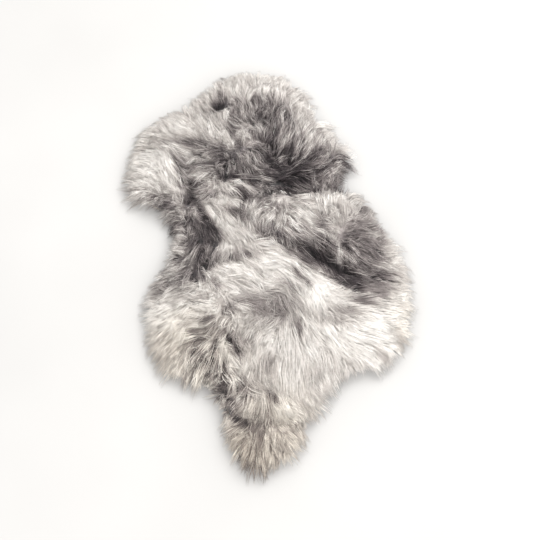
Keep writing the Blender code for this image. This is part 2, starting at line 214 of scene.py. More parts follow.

# Patches of lighter and darker wool. Each lies over those before it. Partly they are the dye's own patches,
# and partly painted light and shade of the folds that the pelt lay in: the lit tops of the roll over the
# right flank and of the left foreleg, and painted shadow in the hollow, in the trough under the roll, on the
# roll's face, in the gaps between locks, along the parting over the tail and where the right hip's edge curls
# under. The tones were changed until each patch came out about as grey as in the photo.
PHOTO_TONES = (
    # place, u, v, reach along, reach across, heading, tone (0 charcoal, 1 silver white)
    ("neck end", 250, 82, 50, 15, 0, 0.79),
    ("left of the neck", 186, 122, 46, 17, 22, 0.83),
    ("right of the neck", 307, 122, 32, 17, -58, 0.67),
    ("neck", 266, 120, 27, 24, 0, 0.39),
    ("right shoulder", 331, 168, 23, 21, 0, 0.35),
    ("withers", 232, 158, 34, 16, 0, 0.38),
    # The hollow: darker wool, with painted shadow over it
    ("hollow", 287, 168, 28, 28, 0, 0.12),
    ("left foreleg", 150, 178, 34, 36, 0, 0.87),
    ("valley", 190, 184, 28, 11, -75, 0.24),
    ("pale roll", 226, 192, 32, 12, 0, 0.76),
    ("saddle", 240, 230, 34, 26, 0, 0.73),
    ("roll over the right flank", 302, 214, 50, 22, 0, 0.74),
    ("right flank", 366, 240, 27, 27, 0, 0.41),
    ("left waist", 172, 255, 16, 30, 0, 0.58),
    ("dark roll", 200, 236, 38, 20, -80, 0.32),
    ("back", 262, 270, 62, 24, 0, 0.9),
    # The trough under the roll: painted shadow
    ("trough", 336, 268, 48, 13, -36, 0.16),
    ("right belly", 350, 306, 64, 20, -8, 0.86),
    ("left belly", 170, 318, 34, 28, 0, 0.95),
    ("left flank", 176, 280, 26, 13, 0, 0.54),
    ("mauve patch", 268, 311, 38, 17, -5, 0.43),
    ("mauve patch, right", 294, 308, 8, 7, 0, 0.52),
    ("pale beside the mauve patch", 243, 309, 6, 6, 0, 0.9),
    ("left hip", 175, 358, 30, 34, 0, 0.72),
    ("right hip", 378, 336, 50, 30, 0, 0.96),
    ("rump", 292, 358, 44, 44, 0, 0.85),
    ("fan", 222, 360, 20, 36, 0, 0.62),
    ("rump low", 262, 400, 46, 18, 0, 0.77),
    ("tail", 264, 448, 44, 34, 0, 0.66),
    ("dark tuft", 220, 99, 10, 9, 95, 0.44),
    ("foot of the dark tuft", 217, 106, 14, 5, 0, 0.06),
    ("beside the dark tuft", 205, 107, 8, 7, 0, 0.76),
    ("pale below that", 204, 115, 7, 5, 0, 1.0),
    ("below the dark tuft", 214, 123, 18, 9, -52, 0.69),
    ("dark band of the neck", 261, 103, 20, 8.5, 0, 0.34),
    ("pale curls of the dark band", 252, 110, 6, 7, 0, 0.72),
    ("dark band's left end", 238, 105, 8, 8, 0, 0.44),
    ("pale corner of the neck", 300, 101, 14, 5, -30, 0.9),
    ("pale above the dark band", 270, 92, 8, 3.5, 0, 0.88),
    ("pale right of the band", 301, 115, 4, 5, 0, 0.86),
    ("pale curl right of the neck", 315, 133, 6, 5, 0, 0.82),
    ("pale left of the neck end", 234, 88, 6, 6, 0, 0.95),
    ("pale notch", 249, 97, 7, 3, 90, 0.92),
    ("grey of the neck end", 259, 86, 7, 2.5, 0, 0.6),
    ("dark column of the neck", 235, 119, 15, 6, -80, 0.4),
    ("pale streaks of the neck", 260, 130, 13, 5, -35, 0.68),
    ("pale curls of the neck", 247, 139, 9, 7, 0, 0.7),
    ("grey of the neck's foot", 238, 143, 5, 6, 0, 0.36),
    ("dark at the neck's foot", 258, 147, 6, 4, 0, 0.22),
    ("pale spot of the neck", 220, 138, 8, 5, 0, 0.82),
    ("dark streak of the neck's left", 231, 129, 8, 4, -78, 0.24),
    ("dark right of the neck", 288, 118, 12, 5, -85, 0.34),
    ("pale flick of the neck", 230, 143, 5, 2.2, 35, 0.95),
    ("grey below the flick", 226, 149, 5, 6, 0, 0.58),
    ("dark side of the neck", 273, 141, 17, 8, -85, 0.2),
    ("dark curl", 299, 141, 7, 7, 0, 0.38),
    ("left shoulder streaks", 164, 143, 24, 4, 0, 0.68),
    ("pale edge of the left shoulder", 143, 137, 9, 6, -45, 0.95),
    ("pale of the left shoulder", 172, 128, 12, 5, 20, 0.95),
    ("pale top of the leg", 151, 154, 12, 5, -10, 0.96),
    ("pale curls of the shoulder", 207, 161, 6, 4, 0, 0.86),
    ("dark under the shoulder", 191, 141, 15, 6, -5, 0.38),
    ("dark streaks", 214, 152, 14, 6, -10, 0.4),
    ("dark of the withers", 215, 165, 16, 4, 0, 0.24),
    ("pale streaks", 200, 176, 15, 6, 0, 0.86),
    ("dark behind the withers", 230, 177, 20, 5, -8, 0.14),
    ("gap left of the hollow", 254, 183, 12, 5, -60, 0.1),
    ("curls of the withers", 243, 157, 13, 6, -30, 0.58),
    ("pale wisp of the withers", 253, 164, 7, 3.5, -50, 0.62),
    ("dark below the curls", 246, 168, 7, 5, 0, 0.22),
    ("right shoulder, front", 328, 140, 13, 8, -30, 0.72),
    ("right shoulder, edge", 354, 152, 16, 5, -80, 0.74),
    ("right shoulder, dark spot", 347, 156, 7, 4.5, 80, 0.4),
    ("dark front of the shoulder", 318, 150, 6, 5, 0, 0.38),
    ("grey of the right shoulder", 339, 166, 9, 8, 0, 0.6),
    ("foot of the right shoulder", 342, 186, 10, 5, 0, 0.24),
    ("pale of the shoulder's foot", 329, 179, 5, 4, 0, 0.48),
    ("streaks left of the hollow", 259, 163, 17, 6, -60, 0.36),
    # Painted shadow deep in the hollow and at its foot
    ("deep of the hollow", 300, 173, 14, 10, 0, 0.06),
    ("mauve of the hollow", 283, 158, 5, 5, 0, 0.7),
    ("dark above the mauve", 286, 147, 6, 3.5, 0, 0.16),
    ("grey below the hollow", 270, 190, 14, 9, 0, 0.5),
    ("foot of the hollow", 294, 192, 18, 6, 0, 0.12),
    ("right foot of the hollow", 317, 188, 7, 5, 0, 0.12),
    ("grey right of the hollow", 315, 170, 4, 8, 0, 0.34),
    ("white strands of the shoulder", 317, 181, 9, 1.8, -65, 0.6),
    ("corner of the right shoulder", 350, 167, 14, 6, 80, 0.28),
    # The left foreleg's crown is painted lit, and its lower side is painted in shade
    ("crown of the left foreleg", 156, 164, 28, 11, -20, 0.92),
    ("side of that crown", 179, 168, 18, 5, -62, 0.42),
    ("core of the left foreleg", 161, 200, 20, 9, -32, 0.52),
    ("left foreleg, low streak", 146, 204, 14, 5, -20, 0.56),
    ("left foreleg, back", 170, 216, 12, 8, 85, 0.5),
    ("under the left foreleg", 169, 227, 6, 5, 0, 0.0),
    ("grey behind the leg", 184, 231, 10, 7, 0, 0.74),
    ("grey beside the crown", 184, 186, 6, 6, 0, 0.7),
    ("pale streak of the leg", 181, 206, 11, 3, -80, 0.74),
    ("crown of the dark roll", 212, 227, 20, 5, -68, 0.24),
    ("dark middle of the roll", 201, 243, 7, 6, -80, 0.22),
    ("grey of the roll's side", 187, 233, 6, 5, 0, 0.42),
    ("grey side of the dark roll", 193, 213, 11, 6, -60, 0.66),
    ("foot of the dark roll", 204, 263, 10, 9, 0, 0.3),
    ("right of that foot", 215, 265, 9, 4.5, 15, 0.26),
    ("right side of the dark roll", 213, 246, 10, 5, -75, 0.28),
    ("top of the left flank", 190, 279, 14, 6, 0, 0.32),
    ("curls of the waist", 179, 246, 10, 5, -35, 0.74),
    ("pale of the waist's foot", 173, 268, 6, 5, 0, 0.8),
    ("edge of the waist", 167, 252, 16, 5, 90, 0.86),
    ("white beside the dark roll", 216, 220, 18, 4, -50, 0.93),
    ("white above the dark roll", 207, 206, 6, 3, -50, 0.9),
    ("pale below the dark roll", 203, 288, 13, 4, -8, 0.88),
    ("grey low of the flank", 192, 302, 12, 3, -5, 0.6),
    ("dark edge of the left flank", 156, 286, 6, 10, 0, 0.58),
    ("white tip", 238, 184, 9, 3, 5, 0.95),
    ("grey streak", 212, 194, 16, 3.5, 5, 0.5),
    ("dark patch of the saddle", 238, 214, 13, 7, -28, 0.36),
    ("pale front of the saddle", 226, 201, 14, 5, -10, 0.95),
    ("pale foot of the saddle", 230, 250, 13, 11, 0, 0.92),
    ("pale middle of the saddle", 230, 227, 8, 6, 0, 0.97),
    ("gap beside the saddle", 244, 196, 10, 5, -60, 0.12),
    # The roll's lit top is painted light, and the dark just above it is painted shadow
    ("white rim of the roll", 276, 198.5, 22, 1.6, 5, 0.74),
    ("pale top of the roll", 283, 205, 14, 3.5, 5, 0.88),
    ("dark above the roll", 284, 193, 8, 2.5, 0, 0.04),
    ("mauve of the roll", 277, 216, 9, 6, 0, 0.64),
    ("left end of the roll", 266, 226, 12, 5, 80, 0.84),
    ("corner of the roll", 261, 236, 9, 4, -30, 0.3),
    ("dark left of the roll", 258, 201, 8, 4, 85, 0.3),
    ("white strands of the roll", 254, 212, 14, 2.2, 82, 0.8),
    ("white tufts", 306, 199, 12, 5, -50, 0.88),
    ("white of the flank's top", 336, 202, 12, 4, 0, 0.94),
    ("grey of the flank's top", 335, 221, 19, 12, 0, 0.77),
    ("grey top of the flank", 323, 220, 7, 5, 0, 0.5),
    ("pinhole of the flank", 320, 226, 6, 4.2, -60, 0.1),
    ("pale above the roll's face", 309, 220, 11, 8, -40, 1.0),
    ("dark right of the roll's face", 323, 240, 7, 5, 80, 0.46),
    ("edge of the flank's top", 366, 208, 11, 7, 80, 0.44),
    ("grey of the flank's edge", 376, 235, 8, 7, 0, 0.72),
    ("foot of the flank", 382, 275, 15, 6, -5, 0.32),
    # The roll's face: painted shade
    ("face of the roll", 278, 238, 20, 5.5, -26, 0.4),
    ("face of the roll, right", 308, 245, 13, 5, -36, 0.6),
    ("edge of the right flank", 401, 256, 32, 8, -80, 0.85),
    ("parted wisp", 340, 254, 11, 2.6, -85, 0.95),
    ("dark right of the wisp", 349, 250, 7, 5, -70, 0.26),
    ("dark foot of the flank", 362, 264, 10, 6, -10, 0.5),
    ("dark low of the flank", 375, 256, 12, 4, 0, 0.36),
    ("dark beside the wisp", 329, 247, 9, 6, 80, 0.36),
    # The trough: painted shadow
    ("deep of the trough", 318, 254, 21, 6, -38, 0.07),
    ("middle of the trough", 350, 280, 17, 8.5, -18, 0.2),
    ("end of the trough", 381, 288, 15, 9, -15, 0.5),
    ("grey end of the trough", 381, 295, 8, 4, -10, 0.4),
    ("bright swirl", 316, 287, 15, 12, 0, 1.0),
    ("bright foot of the swirl", 318, 303, 13, 6, 0, 1.0),
    ("grey pocket", 308, 262, 12, 7, -30, 0.32),
    # Painted shadow in the gaps between locks
    ("first gap of the back", 297, 275, 8, 2, -52, 0.28),
    ("second gap of the back", 307, 283, 6, 2, -35, 0.36),
    ("shade of the back", 288, 286, 12, 5, -20, 0.62),
    ("grey under the saddle", 238, 256, 26, 4.5, 3, 0.5),
    ("shadow under the roll", 291, 254, 11, 3.5, -25, 0.45),
    ("grey fold of the back", 255, 271, 12, 3, -35, 0.66),
    ("grey streaks of the back", 236, 280, 15, 5, -5, 0.74),
    ("grey left of the back", 217, 291, 12, 4, -60, 0.8),
    ("pale left of the mauve patch", 235, 293, 6, 4, 0, 0.94),
    ("grey of the back's left end", 216, 285, 5, 8, 0, 0.64),
    ("dark top of the mauve patch", 257, 299, 13, 4, 0, 0.6),
    ("smooth grey", 238, 318, 14, 13, 0, 0.84),
    ("belly streak", 346, 312, 17, 5, -8, 0.58),
    ("belly streak, low", 333, 322, 17, 4, 0, 0.58),
    ("belly, grey", 364, 302, 14, 5, -12, 0.4),
    ("pale foot of the belly", 338, 342, 24, 7, -58, 0.98),
    ("dark above the rump", 301, 327, 8, 6, 0, 0.66),
    ("white curls above the rump", 296, 314, 6, 1.8, 45, 0.84),
    ("white curls, right", 305, 320, 12, 1.6, -50, 0.96),
    ("gap above the rump", 300, 332, 5, 2.2, 90, 0.16),
    ("pale end of the belly", 404, 296, 10, 5, 0, 0.95),
    ("pale curls of the hip", 206, 311, 15, 6, 20, 0.88),
    ("white curl of the hip", 208, 304, 9, 2.2, 35, 1.0),
    ("white curl of the hip, right", 217, 311, 8, 2.2, 15, 1.0),
    ("dark spot of those curls", 223, 311, 3.5, 3, 0, 0.4),
    ("grey beside the curls", 230, 309, 6, 5, 0, 0.58),
    ("pale of the left hip", 178, 339, 15, 10, 10, 0.95),
    ("pale of the left belly", 170, 326, 14, 6, -25, 1.0),
    ("pale foot of the left hip", 172, 371, 9, 6, 0, 0.9),
    ("grey edge of the left hip", 166, 349, 9, 6, -60, 0.84),
    ("grey of the left hip", 194, 357, 12, 7, -80, 0.52),
    ("dark curls of the hip", 207, 319, 10, 3, 0, 0.36),
    ("dark clump", 195, 332, 7, 3.5, -20, 0.3),
    ("dark right of the clump", 219, 332, 6, 5, 0, 0.66),
    ("right of the fan's root", 240, 341, 12, 5.5, -30, 0.52),
    # Painted shadow in the gaps between the fan's locks
    ("first gap of the fan", 213, 353, 10, 2.2, -88, 0.2),
    ("second gap of the fan", 234, 346, 12, 2.6, -55, 0.1),
    ("third gap of the fan", 224, 367, 9, 3.6, -80, 0.0),
    ("pale locks of the fan", 234, 366, 18, 6, -62, 0.85),
    ("pale lock of the fan", 223, 350, 12, 4, -75, 1.0),
    ("foot of the fan", 221, 384, 10, 5, -50, 0.36),
    ("grey of the hip's foot", 197, 375, 5, 6, 0, 0.6),
    ("pale between fan and rump", 243, 373, 5, 9, 0, 1.0),
    ("grey of the fan's middle", 207, 364, 6, 6, 0, 0.38),
    ("pale tips of the fan", 200, 382, 12, 4, 10, 0.95),
    ("right hip, low", 352, 364, 20, 6, -20, 0.79),
    ("grey low of the right hip", 384, 354, 8, 5, -30, 0.64),
    # Painted shade where the right hip's edge curls under
    ("right hip, edge", 410, 348, 18, 7, -60, 0.6),
    ("rump, pale left", 269, 343, 14, 8, -85, 0.95),
    ("rump, pale foot", 290, 384, 10, 8, 0, 0.93),
    ("rump, pale right", 312, 350, 9, 11, 0, 0.96),
    ("rump, grey", 268, 370, 15, 7, 90, 0.62),
    ("rump, grey right", 314, 371, 11, 8, 0, 0.74),
    ("dark left of the tail", 226, 400, 13, 7, -60, 0.46),
    ("grey left of the knot", 244, 388, 12, 6, -80, 0.46),
    ("knot above the tail", 272, 396, 10, 3.2, -45, 0.28),
    ("pale above the knot", 269, 384, 5, 6, 0, 0.88),
    ("white lock above the tail", 279, 395, 14, 3, -38, 0.83),
    ("tail head", 286, 412, 12, 7, 0, 1.0),
    ("pale left of the tail head", 248, 406, 10, 5, 40, 0.86),
    # The parting over the tail: painted shadow under the overhanging locks
    ("parting, left", 238, 418, 15, 3.5, -28, 0.42),
    ("parting, middle", 262, 425, 9, 2.4, -8, 0.6),
    ("parting, right", 289, 426, 18, 2.2, 0, 0.86),
    ("dark of the tail", 244, 437, 9, 4, 90, 0.76),
    ("tail, low", 242, 465, 17, 7, -15, 0.5),
    ("tail end", 255, 479, 20, 5, 0, 0.38),
    ("tail, right", 293, 452, 18, 13, 80, 0.8),
    ("pale low of the tail", 270, 458, 6, 9, 0, 0.84),
    ("dark low of the tail", 260, 464, 6, 5, 0, 0.55),
    ("pale middle of the tail", 275, 436, 8, 6, 0, 0.84),
)

FLOW_REACH = 0.042  # how far a place's heading is felt
PARTED_BELOW = 0.5  # how well the headings have to agree
OUTLINE_PITCH = 0.006
RIM_TURN_SHARE = 0.65  # how far the wool at the hide's edge turns outwards
RIM_TURN = 0.055  # how far in from the hide's edge the wool starts to turn outwards
BASE_TONE = 0.78
PALE_HAIRS = 0.05  # a share of all
PALER = 0.30
STAPLE_TONE = 0.28  # the share of a strand's tone that its staple sets; the rest it takes from where it runs
FLEECE_PARTS = ("neck", "shoulders", "back", "flanks", "rump", "tail")
FLEECE_NAMES = tuple("fleece_" + part for part in FLEECE_PARTS)
CURLS_NAMES = ("curls_front", "curls_back")

# The camera, which looks along +Y
CAMERA_RISE = math.radians(65)
CAMERA_AWAY = 2.3
LOOK_AT = (0.0, -0.035, 0.0)
LENS = 58

# Staples of long wool
STAPLE_PITCH = 0.0122  # between the roots of neighbouring staples
STAPLE_LENGTH = 0.088
STAPLE_LENGTH_SPREAD = 0.16  # a share of it
STAPLE_LIFT = (-0.006, 0.006)  # the lowest and the highest that a staple lies in the wool
COVER_CELL = 0.009
THIN_BELOW = 9  # ring centres in a cell; with fewer, more staples are set there
STAPLE_ROOT = 0.0085  # the radius of the spot that one staple grows from
HAIRS_A_STAPLE = 9
HAIRS_A_CURLY_STAPLE = 13
LOCK_PITCH = 0.034
RIM_PITCH = 0.0105  # along the edge, between the staples that fall over it
RIM_LEVELS = (
    # level, out from the hide's edge, height of the roots, share of the wool's depth, length
    ("under", 0.000, 0.007, 0.30, 0.040),
    ("middle", 0.004, 0.021, 0.62, 0.044),
    ("over", -0.002, 0.036, 0.95, 0.050),
)
RIM_TUFTS = 0.34  # how much the rim's length wanders, as a share
RIM_TURNS = math.radians(16)  # and how far its locks turn aside
HAIRS_A_RIM_STAPLE = 11
HAIR_RADIUS = 0.00066  # a drawn strand is a dozen or so real hairs that cling together

# How far roots stray from their even places, as a share of the pitch
LOCK_SCATTER = 0.42
STAPLE_SCATTER = 0.38
RIM_SCATTER = 0.3

# How far locks, staples and hairs turn aside and bend, each its own way
LOCK_TURN = math.radians(13)
STAPLE_TURN = math.radians(8)
RIM_STAPLE_TURN = math.radians(9)
HAIR_TURN = math.radians(6)
STANDING_TURN = 0.6  # in radians
LOCK_DRIFT = 0.5  # how far a lock bends with its neighbours
LOCK_BEND = 0.42
STAPLE_BEND = 0.2
STANDING_BEND = 0.6
RIM_BEND = 0.3
HAIR_BEND = 0.22

# How much their lengths, heights and shades differ
LOCK_LENGTH_SPREAD = 0.17
LOCK_LIFT = 0.006
LOCK_SHADE = 0.045
STAPLE_SHADE = 0.08
HAIR_SHADE = 0.09
HAIR_STACK = (-0.004, 0.002)  # the lowest and the highest that a hair lies in its staple
LEAST_STAPLE_LIFT = 0.2  # of the usual, however even the wool is
LEAST_HAIR_STACK = 0.25
RIM_UNRULY = (0.4, 1.2)  # the least and the most unruly that the rim's wool gets

# Lengths. The first two are of a staple: at the hide's edge, and how much longer it is further in.
LENGTH_AT_EDGE = 0.66
LONGER_INSIDE = 0.34
EDGE_REACH = 0.075
SHORTEST_HAIR = 0.72  # a share of its staple's length
SHORTEST_RIM_HAIR = 0.50
LONGEST_HAIR = 1.06
STANDING_LENGTH = 0.034
STANDING_LENGTH_SPREAD = 0.3
SHORTEST_RIM = 0.88  # a share of the level's length
RIM_SPREAD = 0.40  # and how much longer a few are
RIM_THICKNESS = 0.75

# The shares by which shades differ in charcoal, dark, mid, pale and white wool, and the painted shade deep in
# the wool: how much darker the wool is painted towards its root, and a little lighter at its tip
MIXED_SHADES = ((0, 0.25, 0.6, 0.8, 1), (0.35, 0.9, 1.0, 0.8, 0.4))
PAINTED_ROOT_SHADE = ((0, 0.3, 0.7, 1), (-0.50, -0.20, 0.0, 0.08))

# Along a strand: where its rings are, how far it lies over, how high it has come, how thick it is
STRAIGHT_STRAND = (
    # share of its length, lie, rise, thickness
    (0.00, 0.45, 0.30, 0.60),
    (0.30, 0.86, 0.90, 1.00),
    (0.66, 1.00, 1.02, 0.90),
    (1.00, 1.00, 0.98, 0.00),
)
WAVY_STRAND = (
    # share of its length, lie, rise, thickness
    (0.00, 0.45, 0.30, 0.60),
    (0.22, 0.76, 0.80, 1.00),
    (0.44, 0.92, 0.97, 1.00),
    (0.63, 1.00, 1.01, 0.90),
    (0.82, 1.00, 1.02, 0.65),
    (1.00, 1.00, 1.00, 0.00),
)
WAVY_ABOVE = 0.3  # the curl from which a staple has wavy strands
SIDES = 3  # of a strand's section

RIM_FALL = 0.062  # how far out from the hide's edge the long wool reaches the floor
RIM_DEPTH = 0.047  # the wool's depth over the hide's edge
GRID = 0.005  # of the map of the wool's depth
MAP_MARGIN = 0.13  # round the hide
READ_INSIDE = 0.012  # how far in from the hide's edge the wool's depth is read from the solid
HIDE_THICKNESS = 0.0025
SHORT_WOOL_BELOW = 0.011  # how far the short wool's top is below the long wool's
SHORT_WOOL_CELL = 0.009
SHORT_WOOL_PAINTED_SHADE = 0.45
SHORT_WOOL_OUT = 0.012  # how far the pelt's side bulges out over the hide's edge
CLEAR = 0.0003

# Lines where the wool lies in folds. No wool runs across one: it ends there.
PHOTO_FOLDS = (
    # place, the points u, v along it
    ("edge of the left foreleg", ((150, 148), (168, 153), (179, 166), (186, 182), (187, 199))),
    ("edge of the dark roll", (
        (189, 190), (198, 204), (209, 217), (218, 231), (216, 243), (208, 257), (200, 271),
    )),
    ("foot of the dark tuft", ((203, 105), (212, 112), (223, 112), (231, 104))),
    ("foot of the hollow", ((258, 204), (272, 199), (286, 196), (300, 192), (322, 191), (345, 190))),
    ("under the roll", ((254, 241), (270, 240), (284, 247), (296, 257), (307, 264))),
    ("back's side of the trough", ((307, 264), (318, 271), (332, 281), (346, 288), (362, 296))),
    ("right flank's side of the trough", (
        (318, 240), (330, 252), (343, 262), (362, 269), (380, 279), (396, 286),
    )),
    ("foot of the fan", ((200, 379), (214, 383), (222, 391), (233, 399), (245, 402))),
    ("over the tail", ((218, 398), (228, 409), (240, 418), (252, 423), (268, 426), (290, 424), (318, 419))),
)
SHORTEST_AT_A_FOLD = 0.024

# Kinds of wool. Curl runs from 0, straight, to 1, all waves. The others are shares of the usual: how far
# locks turn and bend their own way, how much their shades differ, how long they are, how far they turn
# outwards along the hide's edge, and how far they hang over it.
KIND_COLUMNS = ("curl", "unruly", "streaky", "length", "outwards", "rim")
USUAL_KIND = (0.0, 1.0, 1.0, 1.0, 1.0, 1.0)
PHOTO_KINDS = (
    # place, u, v, reach along, across, heading, curl, unruly, streaky, length, outwards, rim
    ("neck end", 250, 84, 46, 14, 0, 0.3, 0.7, 0.95, 1.0, 1.0, 1.15),
    ("neck", 262, 122, 28, 26, 0, 1.1, 1.7, 1.8, 0.5, 1.0, 1.0),
    ("right of the neck", 308, 122, 26, 16, -60, 0.5, 1.4, 1.2, 0.6, 1.0, 1.45),
    ("right shoulder", 328, 162, 28, 26, 0, 0.9, 1.3, 1.4, 0.45, 1.0, 1.2),
    ("left shoulder", 180, 126, 40, 20, 15, 0.2, 0.7, 0.9, 1.0, 1.0, 1.0),
    ("withers", 212, 162, 24, 18, 0, 0.8, 1.6, 1.9, 0.6, 1.0, 1.0),
    ("left of the hollow", 255, 158, 12, 20, 0, 0.6, 1.2, 1.8, 0.65, 1.0, 1.0),
    ("left foreleg", 150, 192, 34, 24, 0, 0.1, 0.6, 1.6, 1.0, 1.0, 1.3),
    ("under the left foreleg", 150, 200, 22, 9, 0, 0.1, 0.7, 1.5, 0.9, 1.0, 0.22),
    ("edge of the right shoulder", 346, 150, 8, 11, 0, 0.9, 1.3, 1.4, 0.5, 1.0, 1.7),
    ("crown of the left foreleg", 160, 165, 26, 15, -20, 0.0, 0.35, 0.6, 1.1, 1.0, 1.0),
    ("valley and hollow", 285, 168, 28, 26, 0, 0.35, 1.2, 1.4, 0.6, 1.0, 1.0),
    ("saddle", 240, 232, 30, 22, 0, 0.0, 0.6, 0.6, 1.0, 1.0, 1.0),
    ("roll over the right flank", 290, 218, 38, 20, -20, 0.2, 0.8, 1.4, 1.0, 1.0, 1.0),
    ("right flank", 366, 240, 32, 32, 0, 0.1, 0.7, 0.5, 0.9, 1.0, 1.0),
    ("edge of the flank's top", 364, 204, 9, 12, 0, 0.1, 0.7, 0.6, 0.9, 1.0, 1.5),
    ("parted wisp", 341, 248, 8, 12, 0, 0.6, 1.0, 1.5, 0.75, 1.0, 1.0),
    ("left waist", 176, 252, 14, 18, 0, 0.9, 1.7, 2.4, 0.6, 1.0, 0.6),
    ("left flank", 172, 282, 22, 12, 0, 0.7, 1.3, 1.5, 0.65, 1.0, 1.0),
    ("back", 265, 268, 55, 24, -10, 0.0, 0.5, 0.8, 1.2, 1.0, 1.0),
    ("mauve patch", 255, 302, 34, 14, 0, 0.1, 0.5, 0.3, 1.0, 1.0, 1.0),
    ("right belly", 355, 298, 56, 22, 0, 0.0, 0.25, 0.2, 1.1, 1.0, 0.62),
    ("left belly", 165, 312, 28, 22, 0, 0.1, 0.5, 0.6, 1.0, 1.0, 1.0),
    ("left hip", 160, 350, 30, 24, 0, 0.15, 0.35, 0.4, 1.05, 1.0, 1.05),
    ("hip curls", 208, 316, 18, 14, 0, 1.0, 1.6, 1.7, 0.55, 1.0, 1.0),
    ("fan", 212, 355, 34, 26, -60, 0.1, 0.6, 2.4, 1.25, 1.0, 1.0),
    ("right edge", 405, 290, 10, 32, 0, 0.0, 0.25, 0.2, 0.75, 1.0, 0.5),
    ("right hip", 375, 335, 46, 30, 0, 0.0, 0.25, 0.15, 1.15, 1.0, 1.0),
    ("right hind leg", 356, 370, 30, 9, 5, 0.0, 0.4, 0.4, 0.6, 1.0, 0.3),
    ("right of the tail", 320, 390, 12, 8, 0, 0.0, 0.6, 0.8, 1.0, 1.0, 0.6),
    ("rump", 292, 358, 38, 36, 0, 0.0, 0.4, 0.3, 1.3, 1.0, 1.0),
    ("tail head", 262, 402, 36, 14, 0, 0.1, 0.8, 1.2, 0.95, 0.7, 1.0),
    ("tail", 262, 450, 46, 26, 0, 0.05, 0.4, 0.9, 0.8, 0.55, 1.15),
    ("tail, right", 302, 419, 12, 9, -50, 0.05, 0.4, 0.8, 1.0, 0.7, 1.75),
    ("tail, low right", 294, 446, 12, 9, -70, 0.05, 0.4, 0.8, 0.95, 0.4, 0.8),
    ("tail end", 250, 468, 22, 8, 0, 0.05, 0.3, 0.6, 0.8, 0.7, 1.25),
)

# Where the wool is warmer: partly wool that has yellowed a little, partly painted warm shade and painted warm
# light bounced off the floor
YELLOWED_AND_WARM_SHADE = (
    # place, x, y, reach along, reach across, heading, warmth
    ("left hip", -0.200, -0.310, 0.150, 0.130, 0, 0.42),
    ("right hip", 0.380, -0.240, 0.120, 0.060, 90, 0.30),
    ("tail", 0.000, -0.520, 0.160, 0.140, 0, 0.50),
    ("tail, low left", -0.070, -0.560, 0.080, 0.070, 0, 0.75),
)
CRIMP = 0.0006  # how far straight wool waves aside
CURL_CRIMP = 0.0032  # and how much more the wavy wool does
PAINTED_SHADE_A_LIFT = 3.0  # painted shade: how much lighter wool is painted for each metre that it lies higher, as the wool below it lies in shade


PHOTO_MIDDLE = (266.5, 270)  # in pixels
PIXELS_A_FRAME = 540
FRAME = 36  # the sensor's width, in the lens's unit
FOCAL_PIXELS = LENS / FRAME * PIXELS_A_FRAME
READ_HEIGHT = 0.055  # of the wool where the places were read
READ_FORESHORTENING = 0.906  # how much shorter a length towards the neck looks than it is
READ_PIXEL = CAMERA_AWAY / FOCAL_PIXELS  # the size of a pixel at the pelt
HEADING_STEP = 5  # in degrees
FLOW_STEP, KIND_STEP, FOLD_STEP, TONE_STEP = 0.005, 0.005, 0.002, 0.001  # how finely places are kept


def to_step(value, step):
    """The value to the nearest step, in whole millimetres."""
    return round(round(value / step) * step, 3)


def on_pelt(u, v, step):
    """The place on the pelt, in metres, that the photo shows at a pixel."""
    away, aside = (PHOTO_MIDDLE[1] - v) / FOCAL_PIXELS, (u - PHOTO_MIDDLE[0]) / FOCAL_PIXELS
    north = math.cos(CAMERA_RISE) + math.sin(CAMERA_RISE) * away
    up = -math.sin(CAMERA_RISE) + math.cos(CAMERA_RISE) * away
    far = (READ_HEIGHT - CAMERA_AWAY * math.sin(CAMERA_RISE)) / up
    y = -CAMERA_AWAY * math.cos(CAMERA_RISE) + far * north + LOOK_AT[1]
    return to_step(far * aside, step), to_step(y, step)


def heading_on_pelt(heading):
    """The heading on the pelt of what the photo shows at this heading."""
    turn = math.radians(heading)
    turned = math.degrees(math.atan2(math.sin(turn) / READ_FORESHORTENING, math.cos(turn)))
    turned = round(turned / HEADING_STEP) * HEADING_STEP
    return turned + 360 if turned <= -180 else turned


def patch_on_pelt(row, step):
    """A patch's row with its place and reaches in metres, and its heading on the pelt."""
    name, u, v, along, across, heading, *values = row
    cos, sin = math.cos(math.radians(heading)), math.sin(math.radians(heading))
    along *= READ_PIXEL * math.hypot(cos, sin / READ_FORESHORTENING)
    across *= READ_PIXEL * math.hypot(sin, cos / READ_FORESHORTENING)
    reaches = to_step(along, step), to_step(across, step)
    return name, *on_pelt(u, v, step), *reaches, heading_on_pelt(heading), *values


FLOW = [(name, *on_pelt(u, v, FLOW_STEP), heading_on_pelt(heading)) for name, u, v, heading in PHOTO_FLOW]
TONES = [patch_on_pelt(row, TONE_STEP) for row in PHOTO_TONES]
KINDS = [patch_on_pelt(row, KIND_STEP) for row in PHOTO_KINDS]
FOLDS = [(name, [on_pelt(u, v, FOLD_STEP) for u, v in places]) for name, places in PHOTO_FOLDS]


def smooth(share):
    """0 below 0 and 1 above 1, with a soft run between."""
    share = np.clip(share, 0, 1)
    return share * share * (3 - 2 * share)


def closed_curve(points, pitch):
    """Points about pitch apart along the smooth closed curve through the given points."""
    t = np.linspace(0, 1, 24, endpoint=False)[:, None]
    fine = []
    for i in range(len(points)):
        a, b, c, d = (points[(i + k) % len(points)] for k in (-1, 0, 1, 2))
        bend = (2 * a - 5 * b + 4 * c - d) * t**2 + (3 * b - a - 3 * c + d) * t**3
        fine.append(0.5 * (2 * b + (c - a) * t + bend))
    fine = np.concatenate([*fine, points[:1]])
    along = np.concatenate([[0], np.cumsum(np.linalg.norm(np.diff(fine, axis=0), axis=1))])
    at = np.linspace(0, along[-1], round(along[-1] / pitch), endpoint=False)
    return np.stack([np.interp(at, along, fine[:, k]) for k in (0, 1)], axis=1)


